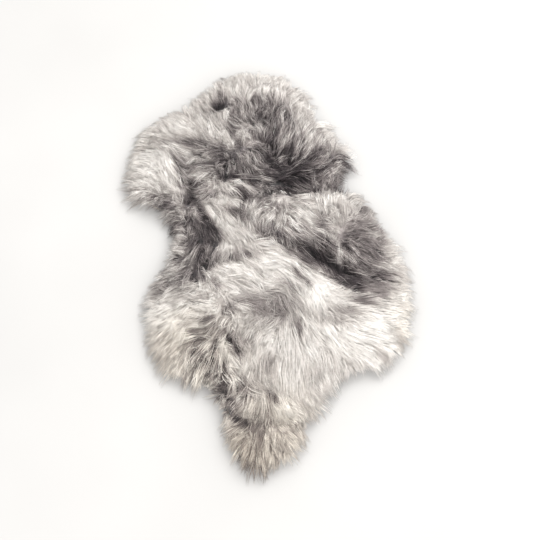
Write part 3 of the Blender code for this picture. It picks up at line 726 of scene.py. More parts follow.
def depth_inside(points, edge):
    """How far inside the closed edge each point is. Outside it is below 0."""
    after = np.roll(edge, -1, axis=0)
    distance = np.full(len(points), np.inf)
    inside = np.zeros(len(points), bool)
    for (x0, y0), (x1, y1) in zip(edge, after):
        distance = np.minimum(distance, np.hypot(points[:, 0] - x0, points[:, 1] - y0))
        if y0 != y1:
            spans = (y0 > points[:, 1]) != (y1 > points[:, 1])
            inside ^= spans & (points[:, 0] < (x1 - x0) * (points[:, 1] - y0) / (y1 - y0) + x0)
    return np.where(inside, distance, -distance)


def blurred(values, cells):
    """A grid of values, each evened out over its neighbours."""
    reach = np.arange(-3 * math.ceil(cells), 3 * math.ceil(cells) + 1)
    weights = np.exp(-0.5 * (reach / cells) ** 2)
    weights /= weights.sum()
    for axis in (0, 1):
        width = [(0, 0), (0, 0)]
        width[axis] = (len(reach) // 2, len(reach) // 2)
        padded = np.pad(values, width, mode="edge")
        values = np.apply_along_axis(np.convolve, axis, padded, weights, mode="valid")
    return values


class Pelt:
    """Maps over the pelt: how deep the wool is, how far in from the hide's edge, and which way is out."""

    def __init__(self, solid, edge):
        low, high = edge.min(axis=0) - MAP_MARGIN, edge.max(axis=0) + MAP_MARGIN
        self.low = low
        self.xs, self.ys = (np.arange(low[k], high[k], GRID) for k in (0, 1))
        grid = np.stack(np.meshgrid(self.xs, self.ys, indexing="ij"), axis=-1)
        inside = depth_inside(grid.reshape(-1, 2), edge)
        tree = BVHTree.FromObject(solid, bpy.context.evaluated_depsgraph_get())
        heights = RIM_DEPTH * (1 - np.clip(-inside / RIM_FALL, 0, 1) ** 1.5)
        for i in np.flatnonzero(inside > READ_INSIDE):
            x, y = grid.reshape(-1, 2)[i]
            heights[i] = tree.ray_cast(Vector((x, y, 1)), Vector((0, 0, -1)))[0].z
        shape = grid.shape[:2]
        self.inside_map = inside.reshape(shape)
        self.height_map = blurred(heights.reshape(shape), 1.3)
        out = np.stack(np.gradient(-blurred(self.inside_map, 3.0), GRID), axis=-1)
        self.out_map = out / np.maximum(np.linalg.norm(out, axis=-1), 1e-6)[..., None]

    def read(self, values, points):
        """The values of a map at the points, evened between its cells."""
        at = (points - self.low) / GRID
        limits = np.array(values.shape[:2]) - 2
        cell = np.clip(np.floor(at).astype(int), 0, limits)
        share = np.clip(at - cell, 0, 1)
        i, j = cell[..., 0], cell[..., 1]
        u, v = share[..., 0], share[..., 1]
        if values.ndim == 3:
            u, v = u[..., None], v[..., None]
        low = values[i, j] * (1 - u) + values[i + 1, j] * u
        high = values[i, j + 1] * (1 - u) + values[i + 1, j + 1] * u
        return low * (1 - v) + high * v


def headings_at(points, pelt):
    """The unit vector in which the wool lies at each point."""
    places = np.array([row[1:3] for row in FLOW])
    angles = np.radians([row[3] for row in FLOW])
    apart = np.linalg.norm(points[:, None] - places[None], axis=2)
    weights = np.exp(-((apart / FLOW_REACH) ** 2)) + 1e-5
    lie = weights @ np.stack([np.cos(angles), np.sin(angles)], axis=1)
    lie /= weights.sum(axis=1)[:, None]
    # Where the wool parts, single staples go their own way and leave no bald spot.
    own_way = math.pi * np.stack([wander(points, 0.021, 1.0), wander(points, 0.021, 2.0)], axis=1)
    lie += own_way * np.maximum(PARTED_BELOW - np.linalg.norm(lie, axis=1), 0)[:, None]
    rim = RIM_TURN_SHARE * (1 - smooth(pelt.read(pelt.inside_map, points) / RIM_TURN))[:, None]
    rim *= kinds_at(points)["outwards"][:, None]
    lie = lie * (1 - rim) + pelt.read(pelt.out_map, points) * rim
    return lie / np.maximum(np.linalg.norm(lie, axis=1), 1e-6)[:, None]


def cover_of(points, place):
    """How much of a patch covers each point: 1 in its middle, with soft sides. Place is a table's row."""
    _, x, y, along, across, heading = place[:6]
    turn = math.radians(heading)
    dx, dy = points[..., 0] - x, points[..., 1] - y
    far = ((dx * math.cos(turn) + dy * math.sin(turn)) / along) ** 2
    aside = ((dy * math.cos(turn) - dx * math.sin(turn)) / across) ** 2
    return np.exp(-((far + aside) ** 1.5))


def tones_at(points):
    """The wool's tone at each point, from 0, charcoal, to 1, silver white: partly its dye, partly the painted
    light and shade of the folds.
    """
    tones = np.full(points.shape[:-1], BASE_TONE)
    for row in TONES:
        tones += (row[6] - tones) * cover_of(points, row)
    return tones


def warmth_at(points):
    """How warm the wool's colour is at each point, from 0 to 1: partly yellowed wool, partly painted warm
    shade and bounced light.
    """
    warmth = np.zeros(len(points))
    for row in YELLOWED_AND_WARM_SHADE:
        warmth += (row[6] - warmth) * cover_of(points, row)
    return warmth


def kinds_at(points):
    """The wool's kind at each point: a column of values for each of its traits."""
    kinds = np.tile(USUAL_KIND, (len(points), 1))
    for row in KINDS:
        kinds += (np.array(row[6:]) - kinds) * cover_of(points, row)[:, None]
    return dict(zip(KIND_COLUMNS, kinds.T))


def ended_at_folds(roots, angles, bends, lengths, lie):
    """The lengths, shorter where the wool would run across a fold."""
    ahead = np.stack([np.cos(angles + 0.4 * bends), np.sin(angles + 0.4 * bends)], axis=1)
    runs = lengths * lie
    for _, places in FOLDS:
        for start, end in zip(places, places[1:]):
            along = np.subtract(end, start)
            to_start = start - roots
            turn = ahead[:, 0] * along[1] - ahead[:, 1] * along[0]
            turn = np.where(np.abs(turn) < 1e-9, 1e-9, turn)
            reached = (to_start[:, 0] * along[1] - to_start[:, 1] * along[0]) / turn
            beside = (to_start[:, 0] * ahead[:, 1] - to_start[:, 1] * ahead[:, 0]) / turn
            across = (reached > 0) & (reached < runs) & (beside >= 0) & (beside <= 1)
            runs = np.where(across, reached, runs)
    return np.maximum(runs / lie, np.minimum(lengths, SHORTEST_AT_A_FOLD))


def wander(points, pitch, seed):
    """A value from about -1 to 1 at each point that drifts slowly over the pelt."""
    return 2 * np.array([noise.noise(Vector((x / pitch, y / pitch, seed))) for x, y in points])


class Locks:
    """Handfuls of staples that hang together: each lock has its own turn, bend, length, lift and shade."""

    def __init__(self, pelt, edge, rng):
        low, high = edge.min(axis=0) - 0.02, edge.max(axis=0) + 0.02
        columns, rows = (np.arange(low[k], high[k], LOCK_PITCH) for k in (0, 1))
        grid = np.array([(x + (k % 2) * LOCK_PITCH / 2, y) for k, y in enumerate(rows) for x in columns])
        grid += rng.uniform(-LOCK_SCATTER, LOCK_SCATTER, grid.shape) * LOCK_PITCH
        self.roots = grid[pelt.read(pelt.inside_map, grid) > -0.02]
        count = len(self.roots)
        headings = headings_at(self.roots, pelt)
        unruly = kinds_at(self.roots)["unruly"]
        self.turns = LOCK_TURN * unruly * rng.normal(size=count)
        self.angles = np.arctan2(headings[:, 1], headings[:, 0]) + self.turns
        drift = LOCK_DRIFT * wander(self.roots, 0.05, 8.0)
        self.bends = unruly * (drift + LOCK_BEND * rng.normal(size=count))
        self.lengths = 1 + LOCK_LENGTH_SPREAD * rng.uniform(-1, 1, count)
        self.lifts = rng.uniform(-LOCK_LIFT, LOCK_LIFT, count)
        self.shades = LOCK_SHADE * rng.normal(size=count)

    def of(self, points):
        """The number of the lock that each point is nearest to."""
        return np.linalg.norm(points[:, None] - self.roots[None], axis=2).argmin(axis=1)


def body_staples(pelt, edge, locks, rng):
    """The staples that grow all over the hide, one row each."""
    low, high = edge.min(axis=0), edge.max(axis=0)
    rows = np.arange(low[1], high[1], STAPLE_PITCH * math.sqrt(3) / 2)
    columns = np.arange(low[0], high[0], STAPLE_PITCH)
    grid = np.array([(x + (k % 2) * STAPLE_PITCH / 2, y) for k, y in enumerate(rows) for x in columns])
    grid += rng.uniform(-STAPLE_SCATTER, STAPLE_SCATTER, grid.shape) * STAPLE_PITCH
    roots = grid[pelt.read(pelt.inside_map, grid) > 0.003]
    count = len(roots)
    headings = headings_at(roots, pelt)
    angles = np.arctan2(headings[:, 1], headings[:, 0])
    lock = locks.of(roots)
    kinds = kinds_at(roots)
    unruly = kinds["unruly"]
    even = np.clip(unruly, LEAST_STAPLE_LIFT, 1)
    angles += locks.turns[lock] + STAPLE_TURN * unruly * rng.normal(size=count)
    spread = 1 + STAPLE_LENGTH_SPREAD * rng.uniform(-1, 1, count)
    lengths = STAPLE_LENGTH * locks.lengths[lock] * spread
    further_in = smooth(pelt.read(pelt.inside_map, roots) / EDGE_REACH)
    lengths *= LENGTH_AT_EDGE + LONGER_INSIDE * further_in
    return {
        "roots": roots,
        "lock": lock,
        "root_rise": rng.uniform(0.22, 0.34, count),
        "angles": angles,
        "bends": locks.bends[lock] + STAPLE_BEND * unruly * rng.normal(size=count),
        "lengths": lengths,
        "depth": np.ones(count),
        "lifts": even * (0.6 * locks.lifts[lock] + rng.uniform(*STAPLE_LIFT, count)),
        "tips": rng.uniform(-0.004, 0.006, count),
        "together": rng.uniform(0.2, 0.5, count),
        "hairs": np.where(kinds["curl"] > WAVY_ABOVE, HAIRS_A_CURLY_STAPLE, HAIRS_A_STAPLE),
        "shortest": np.full(count, SHORTEST_HAIR),
        "shortened": np.ones(count),
        "thick": np.ones(count),
        "cling": 0.6 * even,
    }


def standing_staples(pelt, edge, locks, lines, rng):
    """More staples where the others part and leave the hide bare. These stand up and lean all ways."""
    low, high = edge.min(axis=0), edge.max(axis=0)
    bins = [np.arange(low[k], high[k] + COVER_CELL, COVER_CELL) for k in (0, 1)]
    shown = lines[:, 1:, :2].reshape(-1, 2)
    cover = blurred(np.histogram2d(shown[:, 0], shown[:, 1], bins)[0], 0.8)
    i, j = np.nonzero(cover < THIN_BELOW)
    cells = np.stack([bins[0][i], bins[1][j]], axis=1) + COVER_CELL / 2
    need = THIN_BELOW / 5 - cover[i, j] / 5
    cells = np.repeat(cells, np.ceil(need / HAIRS_A_STAPLE * 1.6).astype(int), axis=0)
    roots = cells + rng.uniform(-0.5, 0.5, cells.shape) * COVER_CELL
    roots = roots[pelt.read(pelt.inside_map, roots) > 0.012]
    count = len(roots)
    headings = headings_at(roots, pelt)
    return {
        "roots": roots,
        "lock": locks.of(roots),
        "root_rise": rng.uniform(0.3, 0.5, count),
        "angles": np.arctan2(headings[:, 1], headings[:, 0]) + STANDING_TURN * rng.normal(size=count),
        "bends": STANDING_BEND * rng.normal(size=count),
        "lengths": STANDING_LENGTH * (1 + STANDING_LENGTH_SPREAD * rng.uniform(-1, 1, count)),
        "depth": np.ones(count),
        "lifts": rng.uniform(-0.004, 0.002, count),
        "tips": rng.uniform(-0.002, 0.004, count),
        "together": np.zeros(count),
        "hairs": np.full(count, HAIRS_A_STAPLE),
        "shortest": np.full(count, SHORTEST_HAIR),
        "shortened": np.ones(count),
        "thick": np.ones(count),
        "cling": np.full(count, 0.6),
    }


def rim_staples(pelt, edge, locks, rng):
    """The staples whose roots stand at the hide's edge and that fall over it to the floor."""
    parts = []
    for _, out, height, depth, length in RIM_LEVELS:
        along = closed_curve(edge, RIM_PITCH)
        along += rng.uniform(-RIM_SCATTER, RIM_SCATTER, along.shape) * RIM_PITCH
        outward = pelt.read(pelt.out_map, along)
        roots = along + outward * out
        count = len(roots)
        headings = headings_at(roots, pelt)
        angles = np.arctan2(headings[:, 1], headings[:, 0])
        lock = locks.of(roots)
        kinds = kinds_at(roots)
        unruly = np.clip(kinds["unruly"], *RIM_UNRULY)
        tufts = locks.lengths[lock] * (1 + RIM_TUFTS * unruly * wander(roots, 0.028, 5.0 + out))
        angles += locks.turns[lock] + RIM_TURNS * unruly * wander(roots, 0.022, 9.0)
        angles += RIM_STAPLE_TURN * rng.normal(size=count)
        bends = locks.bends[lock] + RIM_BEND * rng.normal(size=count)
        longer = RIM_SPREAD * rng.uniform(0, 1, count) ** 3
        parts.append(
            {
                "roots": roots,
                "lock": lock,
                "root_rise": np.full(count, height / RIM_DEPTH),
                "angles": angles,
                "bends": bends,
                "lengths": length * tufts * kinds["rim"] * (SHORTEST_RIM + longer),
                "depth": np.full(count, depth),
                "lifts": rng.uniform(-0.003, 0.004, count),
                "tips": rng.uniform(-0.002, 0.006, count),
                "together": np.zeros(count),
                "hairs": np.full(count, HAIRS_A_RIM_STAPLE),
                "shortest": np.full(count, SHORTEST_RIM_HAIR),
                "shortened": np.zeros(count),
                "thick": np.full(count, RIM_THICKNESS),
                "cling": np.full(count, 0.5),
            }
        )
    return joined(parts)


def joined(parts):
    return {key: np.concatenate([part[key] for part in parts]) for key in parts[0]}


def paths(roots, angles, bends, lengths, t, lie):
    """Where strands that start at the roots run over the pelt, at each share t of their length."""
    middle = (t[1:] + t[:-1]) / 2
    turned = angles[:, None] + bends[:, None] * middle**1.5
    steps = lengths[:, None] * np.diff(t) * (lie[1:] + lie[:-1]) / 2
    steps = np.stack([np.cos(turned), np.sin(turned)], axis=2) * steps[..., None]
    run = np.concatenate([np.zeros((len(roots), 1, 2)), np.cumsum(steps, axis=1)], axis=1)
    return roots[:, None] + run


def strands(staples, locks, pelt, rings, rng):
    """The centre lines, radii, shades and warmth of all the strands of these staples."""
    t, lie, rise, thick = (np.array([row[k] for row in rings]) for k in range(4))
    own = np.repeat(np.arange(len(staples["roots"])), staples["hairs"])
    count = len(own)

    spot = STAPLE_ROOT * np.sqrt(rng.uniform(0, 1, count))
    around = rng.uniform(0, 2 * math.pi, count)
    roots = staples["roots"][own] + np.stack([np.cos(around), np.sin(around)], axis=1) * spot[:, None]
    run = ((lie[1:] + lie[:-1]) / 2 * np.diff(t)).sum()  # as a share of the length
    lock_lie = locks.roots, locks.angles, locks.bends
    lock_paths = paths(*lock_lie, ended_at_folds(*lock_lie, locks.lengths * STAPLE_LENGTH, run), t, lie)
    kinds = kinds_at(staples["roots"])
    lengths = staples["lengths"] * (1 + (kinds["length"] - 1) * staples["shortened"])
    staple_lie = staples["roots"], staples["angles"], staples["bends"]
    lengths = ended_at_folds(*staple_lie, lengths, run)
    staple_paths = paths(*staple_lie, lengths, t, lie)
    together = staples["together"][:, None, None] * (t**1.2)[None, :, None]
    staple_paths = staple_paths * (1 - together) + lock_paths[staples["lock"]] * together
    kind = {key: values[own] for key, values in kinds.items()}
    angles = staples["angles"][own] + HAIR_TURN * kind["unruly"] * rng.normal(size=count)
    bends = staples["bends"][own] + HAIR_BEND * kind["unruly"] * rng.normal(size=count)
    shortest = staples["shortest"][own]
    lengths = lengths[own] * (shortest + (LONGEST_HAIR - shortest) * rng.uniform(0, 1, count))
    hair_paths = paths(roots, angles, bends, lengths, t, lie)
    cling = (staples["cling"][own] + rng.uniform(-0.25, 0.25, count))[:, None, None] * (t**1.3)[None, :, None]
    flat = hair_paths * (1 - cling) + staple_paths[own] * cling

    crimp = rng.uniform(0.6, 1.6, count) * (CRIMP * kind["unruly"] + CURL_CRIMP * kind["curl"])
    turns = rng.uniform(1.3, 2.4, count)
    phase = rng.uniform(0, 2 * math.pi, len(staples["roots"]))[own] + 0.8 * rng.normal(size=count)
    wave = np.sin(2 * math.pi * turns[:, None] * t + phase[:, None]) * t * crimp[:, None]
    aside = np.stack([-np.sin(angles), np.cos(angles)], axis=1)
    flat = flat + aside[:, None] * wave[..., None]

    depth = pelt.read(pelt.height_map, flat) * staples["depth"][own][:, None]
    share = rise[None, :].repeat(count, axis=0)
    share[:, 0] = staples["root_rise"][own] / staples["depth"][own]
    stack = np.clip(kind["unruly"], LEAST_HAIR_STACK, 1) * rng.uniform(*HAIR_STACK, count)
    stack = staples["lifts"][own] + stack
    height = depth * share + stack[:, None] * rise * (t > 0) + staples["tips"][own][:, None] * t**3
    height += np.cos(2 * math.pi * turns[:, None] * t + phase[:, None]) * t * crimp[:, None] * 0.6
    height = np.maximum(height, HIDE_THICKNESS)
    lines = np.concatenate([flat, height[..., None]], axis=2)
    thin = 1 - 0.22 * np.clip(kind["curl"], 0, 1)
    radii = (HAIR_RADIUS * thin * staples["thick"][own] * rng.uniform(0.5, 1.25, count))[:, None] * thick

    seen = tones_at(staple_paths[:, -2])[own]
    tones = STAPLE_TONE * seen[:, None] + (1 - STAPLE_TONE) * tones_at(flat)
    # White wool and charcoal wool have few other hairs between them, and grey wool has many.
    mixed = np.interp(seen, *MIXED_SHADES)
    own_shade = STAPLE_SHADE * rng.normal(size=len(staples["roots"]))
    own_shade = locks.shades[staples["lock"]] + own_shade
    # Painted shade: a hair that lies lower in its staple is painted darker
    own_shade = own_shade[own] + HAIR_SHADE * rng.normal(size=count) + PAINTED_SHADE_A_LIFT * stack
    own_shade = mixed * kind["streaky"] * own_shade
    # Now and then a pale hair lies in the darker wool.
    own_shade += PALER * (rng.uniform(0, 1, count) < PALE_HAIRS) * np.clip(1.1 - seen, 0, 1)
    # Painted shade deep in the wool: darker towards the roots, a little lighter at the tips
    darker = np.interp(t, *PAINTED_ROOT_SHADE)
    shades = tones + own_shade[:, None] + darker * np.clip(1.1 - tones, 0.08, 0.8)
    warmth = warmth_at(staple_paths[:, -2])[own]
    return lines, radii, np.clip(shades, 0, 1), warmth


def strand_piece(name, lines, radii, shades, warmth, material):
    """One mesh of closed, tapered strands. Each strand has its own cell in the map OFBake."""
    count, rings = lines.shape[:2]
    tangents = np.gradient(lines, axis=1)
    tangents /= np.maximum(np.linalg.norm(tangents, axis=2), 1e-9)[..., None]
    aside = np.cross(tangents, (0.0, 0.0, 1.0))
    aside /= np.maximum(np.linalg.norm(aside, axis=2), 1e-9)[..., None]
    above = np.cross(aside, tangents)
    corner = 2 * math.pi * np.arange(SIDES) / SIDES
    section = np.cos(corner)[:, None] * aside[:, :-1, None] + np.sin(corner)[:, None] * above[:, :-1, None]
    rings_at = lines[:, :-1, None] + section * radii[:, :-1, None, None]
    per = (rings - 1) * SIDES + 1
    verts = np.concatenate([rings_at.reshape(count, -1, 3), lines[:, -1:]], axis=1).reshape(-1, 3)
    tones = np.concatenate([np.repeat(shades[:, :-1], SIDES, axis=1), shades[:, -1:]], axis=1)

    # The faces of one strand, and where each corner goes in the strand's own cell
    pattern, cell = [], []
    for i in range(rings - 2):
        for k in range(SIDES):
            a, b = i * SIDES + k, i * SIDES + (k + 1) % SIDES
            pattern.append((a, b, b + SIDES, a + SIDES))
            low, high = (i + 0.5) / rings, (i + 1.5) / rings
            cell += [(0.15, low), (0.85, low), (0.85, high), (0.15, high)]
    for k in range(SIDES):
        a, b = (rings - 2) * SIDES + k, (rings - 2) * SIDES + (k + 1) % SIDES
        pattern.append((a, b, per - 1))
        low = (rings - 1.5) / rings
        cell += [(0.15, low), (0.85, low), (0.5, 0.97)]
    pattern.append(tuple(reversed(range(SIDES))))
    cell += [(0.15, 0.02), (0.85, 0.02), (0.5, 0.09)]

    sizes = np.array([len(face) for face in pattern])
    corners = np.concatenate(pattern)
    mesh = bpy.data.meshes.new(name)
    mesh.vertices.add(len(verts))
    mesh.vertices.foreach_set("co", verts.astype(np.float32).ravel())
    loops = (corners[None] + (np.arange(count) * per)[:, None]).ravel()
    mesh.loops.add(len(loops))
    mesh.loops.foreach_set("vertex_index", loops)
    starts = np.concatenate([[0], np.cumsum(np.tile(sizes, count))[:-1]])
    mesh.polygons.add(len(starts))
    mesh.polygons.foreach_set("loop_start", starts)
    mesh.update(calc_edges=True)
    mesh.validate()

    columns = math.ceil(math.sqrt(count * 2))
    rows = math.ceil(count / columns)
    size = np.array((1 / columns, 1 / rows))
    corner_at = np.stack([np.arange(count) % columns, np.arange(count) // columns], axis=1)
    uv = (corner_at[:, None] + np.array(cell)[None]) * size
    layer = mesh.uv_layers.new(name="OFBake")
    layer.data.foreach_set("uv", uv.astype(np.float32).ravel())
    attribute = mesh.attributes.new("shade", "FLOAT", "POINT")
    attribute.data.foreach_set("value", tones.astype(np.float32).ravel())
    attribute = mesh.attributes.new("warmth", "FLOAT", "POINT")
    attribute.data.foreach_set("value", np.repeat(warmth, per).astype(np.float32))
    mesh.shade_smooth()
    mesh.materials.append(material)
    piece = bpy.data.objects.new(name, mesh)
    bpy.context.scene.collection.objects.link(piece)
    return piece


def linear(hex_colour):
    """A linear RGBA colour from an sRGB hex value."""
    channels = [int(hex_colour[i : i + 2], 16) / 255 for i in (1, 3, 5)]
    return [c / 12.92 if c <= 0.04045 else ((c + 0.055) / 1.055) ** 2.4 for c in channels] + [1.0]


def add(tree, kind, inputs=(), stops=(), **settings):
    """Adds a node. An input is a value or the socket linked to it. Stops are a ramp's places and colours."""
    node = tree.nodes.new(kind)
    for place, colour in stops[: len(stops) - 2]:
        node.color_ramp.elements.new(place)
    for k, (place, colour) in enumerate(stops):
        node.color_ramp.elements[k].position = place
        node.color_ramp.elements[k].color = linear(colour)
    for key, value in settings.items():
        setattr(node, key, value)
    for key, value in dict(inputs).items():
        if isinstance(value, bpy.types.NodeSocket):
            tree.links.new(value, node.inputs[key])
        else:
            node.inputs[key].default_value = value
    return node


def new_material(name, finish):
    """A material with a Principled shader whose own sockets have the finish's constants."""
    material = bpy.data.materials.new(name)
    material.use_nodes = True
    shader = material.node_tree.nodes["Principled BSDF"]
    for key, value in finish.items():
        shader.inputs[key].default_value = value
    return material, material.node_tree, shader


# Dyed wool goes from charcoal through a mauve grey to silver white. The painted light and shade held with the
# dye in the attribute shade runs along the same ramp.
WOOL_SHADES = (
    (0.0, "#191617"),
    (0.25, "#4C4547"),
    (0.5, "#908886"),
    (0.75, "#CEC8C3"),
    (1.0, "#F8F5F1"),
)
YELLOW_TINT = "#F8F1E3"  # what the warmest wool's colour is multiplied by: yellowed wool, and painted warm shade and bounced light


def dye(tree, shader, uneven, swing):
    """Wool's colour: the attribute shade through the dye's ramp, a little uneven by the given noise, and
    warmed in places. The shade holds the dye's tone with painted light and shade, and the warmth is partly
    yellowing, partly painted warm shade.
    """
    shade = add(tree, "ShaderNodeAttribute", attribute_name="shade").outputs["Fac"]
    drift = {0: uneven.outputs["Fac"], 1: swing, 2: -swing / 2}
    drift = add(tree, "ShaderNodeMath", drift, operation="MULTIPLY_ADD")
    total = add(tree, "ShaderNodeMath", {0: shade, 1: drift.outputs[0]}, operation="ADD")
    dyed = add(tree, "ShaderNodeValToRGB", {"Fac": total.outputs[0]}, stops=WOOL_SHADES)
    warmth = add(tree, "ShaderNodeAttribute", attribute_name="warmth").outputs["Fac"]
    tint = {"Fac": warmth, "Color1": dyed.outputs["Color"], "Color2": linear(YELLOW_TINT)}
    warm = add(tree, "ShaderNodeMixRGB", tint, blend_type="MULTIPLY")
    tree.links.new(warm.outputs["Color"], shader.inputs["Base Color"])


def long_wool():
    """Long dyed wool: silky, so it has a soft broad gloss, and a little fuzz that lights its edges."""
    finish = {"Roughness": 0.62, "IOR": 1.5, "Specular IOR Level": 0.18}
    finish |= {"Sheen Weight": 0.08, "Sheen Roughness": 0.4}
    material, tree, shader = new_material("long_wool_dyed_grey", finish)
    place = add(tree, "ShaderNodeTexCoord").outputs["Object"]
    # Each hair takes the dye a little unevenly along its length, in stretches of about 8 mm.
    uneven = add(tree, "ShaderNodeTexNoise", {"Vector": place, "Scale": 1 / 0.008, "Detail": 2.0})
    dye(tree, shader, uneven, 0.16)
    return material


def short_wool_finish():
    """The dense short wool under the long: matted, dull and darker, because little light gets to it."""
    finish = {"Roughness": 0.85, "IOR": 1.5, "Sheen Weight": 0.3, "Sheen Roughness": 0.6}
    material, tree, shader = new_material("short_wool_matted", finish)
    place = add(tree, "ShaderNodeTexCoord").outputs["Object"]
    # Clumps of crimped fibre, about 3 mm across
    crimped = {"Vector": place, "Scale": 1 / 0.003, "Detail": 4.0, "Distortion": 0.8}
    clumps = add(tree, "ShaderNodeTexNoise", crimped)
    dye(tree, shader, clumps, 0.3)
    bump = add(tree, "ShaderNodeBump", {"Height": clumps.outputs["Fac"], "Strength": 0.8, "Distance": 0.002})
    tree.links.new(bump.outputs["Normal"], shader.inputs["Normal"])
    return material


def suede():
    """Tanned hide, flesh side: pale buff suede with cloudy patches and a fine nap."""
    finish = {"Roughness": 0.9, "IOR": 1.45, "Sheen Weight": 0.2}
    material, tree, shader = new_material("sheep_hide_suede", finish)
    place = add(tree, "ShaderNodeTexCoord").outputs["Object"]
    # Cloudy patches, about 70 mm across, where the hide is thicker or thinner
    cloudy = {"Vector": place, "Scale": 1 / 0.07, "Detail": 5.0, "Roughness": 0.6}
    clouds = add(tree, "ShaderNodeTexNoise", cloudy)
    stops = ((0.3, "#C3B093"), (0.5, "#D6C7AE"), (0.72, "#E5DAC6"))
    colour = add(tree, "ShaderNodeValToRGB", {"Fac": clouds.outputs["Fac"]}, stops=stops)
    tree.links.new(colour.outputs["Color"], shader.inputs["Base Color"])
    # The nap, about 0.8 mm
    nap = add(tree, "ShaderNodeTexNoise", {"Vector": place, "Scale": 1 / 0.0008, "Detail": 3.0})
    bump = add(tree, "ShaderNodeBump", {"Height": nap.outputs["Fac"], "Strength": 0.5, "Distance": 0.0004})
    tree.links.new(bump.outputs["Normal"], shader.inputs["Normal"])
    return material


def only(obj):
    """Selects this object alone and makes it active."""
    bpy.ops.object.select_all(action="DESELECT")
    obj.select_set(True)
    bpy.context.view_layer.objects.active = obj


def make_hide(edge):
    """The tanned hide: a thin flat sheet in the pelt's outline."""
    bpy.ops.object.select_all(action="DESELECT")
    bpy.ops.mesh.primitive_circle_add(vertices=len(edge), radius=1, fill_type="NOTHING")
    hide = bpy.context.object
    hide.name = hide.data.name = "hide"
    for vertex, (x, y) in zip(hide.data.vertices, edge):
        vertex.co = (x, y, 0)
    bpy.ops.object.mode_set(mode="EDIT")
    bpy.ops.mesh.select_all(action="SELECT")
    bpy.ops.mesh.edge_face_add()
    bpy.ops.mesh.normals_make_consistent(inside=False)
    bpy.ops.object.mode_set(mode="OBJECT")
    thick = hide.modifiers.new("thickness", "SOLIDIFY")
    thick.thickness = HIDE_THICKNESS
    thick.offset = 1 if hide.data.polygons[0].normal.z > 0 else -1
    bpy.ops.object.modifier_apply(modifier="thickness")
    hide.data.materials.append(suede())
    return hide


def press_in_locks(mesh, pelt):
    """Presses the rim's locks back to the pelt's side, where the short wool ends."""
    co = np.zeros(len(mesh.vertices) * 3, np.float32)
    mesh.vertices.foreach_get("co", co)
    co = co.reshape(-1, 3)
    flat = co[:, :2].astype(float)
    for _ in range(3):
        beyond = np.maximum(-SHORT_WOOL_OUT - pelt.read(pelt.inside_map, flat), 0)
        flat -= pelt.read(pelt.out_map, flat) * beyond[:, None]
    co[:, :2] = flat
    mesh.vertices.foreach_set("co", co.ravel())
    mesh.update()


def make_short_wool(solid, pelt):
    """The dense short wool: one matted, lumpy body on the hide, below the long wool's top."""
    wool = bpy.data.objects.new("short_wool", solid.data.copy())
    bpy.context.scene.collection.objects.link(wool)
    wool.data.materials.clear()
    only(wool)
    bpy.ops.object.mode_set(mode="EDIT")
    bpy.ops.mesh.select_all(action="SELECT")
    bpy.ops.mesh.remove_doubles(threshold=0.00001)
    bpy.ops.object.mode_set(mode="OBJECT")
    press_in_locks(wool.data, pelt)
    even = wool.modifiers.new("even", "REMESH")
    even.mode = "VOXEL"
    even.voxel_size = SHORT_WOOL_CELL
    soften = wool.modifiers.new("soften", "SMOOTH")
    soften.factor, soften.iterations = 0.5, 6
    lower = wool.modifiers.new("lower", "DISPLACE")
    lower.strength, lower.mid_level = -SHORT_WOOL_BELOW, 0.0
    for modifier in ("even", "soften", "lower"):
        bpy.ops.object.modifier_apply(modifier=modifier)
    bpy.ops.object.mode_set(mode="EDIT")
    bpy.ops.mesh.select_all(action="SELECT")
    floor_level = HIDE_THICKNESS + CLEAR
    bpy.ops.mesh.bisect(
        plane_co=(0, 0, floor_level + SHORT_WOOL_BELOW), plane_no=(0, 0, 1), clear_inner=True, use_fill=True
    )
    bpy.ops.object.mode_set(mode="OBJECT")
    co = np.zeros(len(wool.data.vertices) * 3, np.float32)
    wool.data.vertices.foreach_get("co", co)
    co = co.reshape(-1, 3)
    base = co[:, 2] <= floor_level + SHORT_WOOL_BELOW + 1e-5
    co[base, 2] = floor_level
    wool.data.vertices.foreach_set("co", co.ravel())
    wool.data.update()
    shades = tones_at(co[:, :2].astype(float))
    # Painted shade: the short wool under the long is painted darker, the more so under darker wool
    shades = np.clip(shades - SHORT_WOOL_PAINTED_SHADE * np.clip(1.1 - shades, 0, 1), 0, 1)
    for key, values in (("shade", shades), ("warmth", warmth_at(co[:, :2].astype(float)))):
        attribute = wool.data.attributes.new(key, "FLOAT", "POINT")
        attribute.data.foreach_set("value", values.astype(np.float32))
    wool.data.shade_smooth()
    wool.data.materials.append(short_wool_finish())
    return wool


def make_floor():
    """A wide pale matt floor."""
    bpy.ops.object.select_all(action="DESELECT")
    bpy.ops.mesh.primitive_plane_add(size=14, location=(0, 0, 0))
    floor = bpy.context.object
    floor.name = "floor"
    material, tree, shader = new_material("floor_matt_white", {"Roughness": 0.9, "Specular IOR Level": 0.2})
    place = add(tree, "ShaderNodeTexCoord").outputs["Object"]
    # Faint clouds in the paint, half a metre across
    clouds = add(tree, "ShaderNodeTexNoise", {"Vector": place, "Scale": 2.0, "Detail": 2.0})
    stops = ((0.3, "#B4B3B2"), (0.7, "#B9B8B7"))
    colour = add(tree, "ShaderNodeValToRGB", {"Fac": clouds.outputs["Fac"]}, stops=stops)
    tree.links.new(colour.outputs["Color"], shader.inputs["Base Color"])
    floor.data.materials.append(material)


def make_light(name, location, target, size, watts):
    """A square soft light that faces the target."""
    lamp = bpy.data.lights.new(name, "AREA")
    lamp.shape = "SQUARE"
    lamp.size = size
    lamp.energy = watts
    light = bpy.data.objects.new(name, lamp)
    bpy.context.scene.collection.objects.link(light)
    light.location = location
    light.rotation_euler = (Vector(target) - Vector(location)).to_track_quat("-Z", "Y").to_euler()


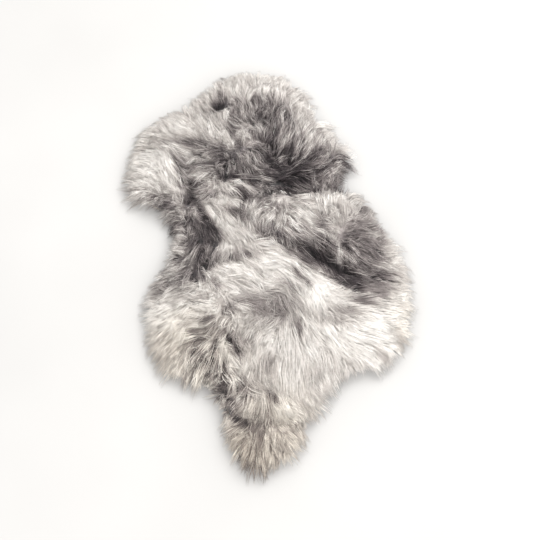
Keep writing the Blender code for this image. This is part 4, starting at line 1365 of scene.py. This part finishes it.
def make_camera():
    """Looks down at the pelt from its tail end, at 65 degrees."""
    camera = bpy.data.objects.new("camera", bpy.data.cameras.new("camera"))
    bpy.context.scene.collection.objects.link(camera)
    camera.data.lens = LENS
    back = Vector((0, -math.cos(CAMERA_RISE), math.sin(CAMERA_RISE)))
    camera.location = Vector(LOOK_AT) + back * CAMERA_AWAY
    camera.rotation_euler = (-back).to_track_quat("-Z", "Y").to_euler()
    bpy.context.scene.camera = camera


make_camera()
make_floor()
make_light("key", (0.9, 1.2, 2.6), (0, 0, 0), 2.2, 64)
make_light("front", (0.6, -2.2, 2.4), (0, 0, 0), 2.0, 38)
world = bpy.data.worlds.new("studio")
bpy.context.scene.world = world
world.use_nodes = True
world.node_tree.nodes["Background"].inputs["Color"].default_value = linear("#FBFAF8")
world.node_tree.nodes["Background"].inputs["Strength"].default_value = 1.52
bpy.context.scene.view_settings.view_transform = "Standard"

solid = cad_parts["sheepskin"]
edge = closed_curve(np.array([row[1:] for row in HIDE_EDGE]), OUTLINE_PITCH)
pelt = Pelt(solid, edge)
rng = np.random.default_rng(SEED)

hide = make_hide(edge)
short_wool = make_short_wool(solid, pelt)
wool = long_wool()
locks = Locks(pelt, edge, rng)
laid = body_staples(pelt, edge, locks, rng)
standing = standing_staples(pelt, edge, locks, strands(laid, locks, pelt, STRAIGHT_STRAND, rng)[0], rng)
staples = joined([laid, standing, rim_staples(pelt, edge, locks, rng)])
wavy = kinds_at(staples["roots"])["curl"] > WAVY_ABOVE
fleece = []
for chosen, rings, names in ((wavy, WAVY_STRAND, CURLS_NAMES), (~wavy, STRAIGHT_STRAND, FLEECE_NAMES)):
    parts = strands({key: values[chosen] for key, values in staples.items()}, locks, pelt, rings, rng)
    from_neck = np.argsort(-parts[0][:, 0, 1], kind="stable")
    for name, members in zip(names, np.array_split(from_neck, len(names))):
        fleece.append(strand_piece(name, *(part[members] for part in parts), wool))

for piece in (hide, short_wool, *fleece):
    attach(piece, "root")
    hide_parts("sheepskin")
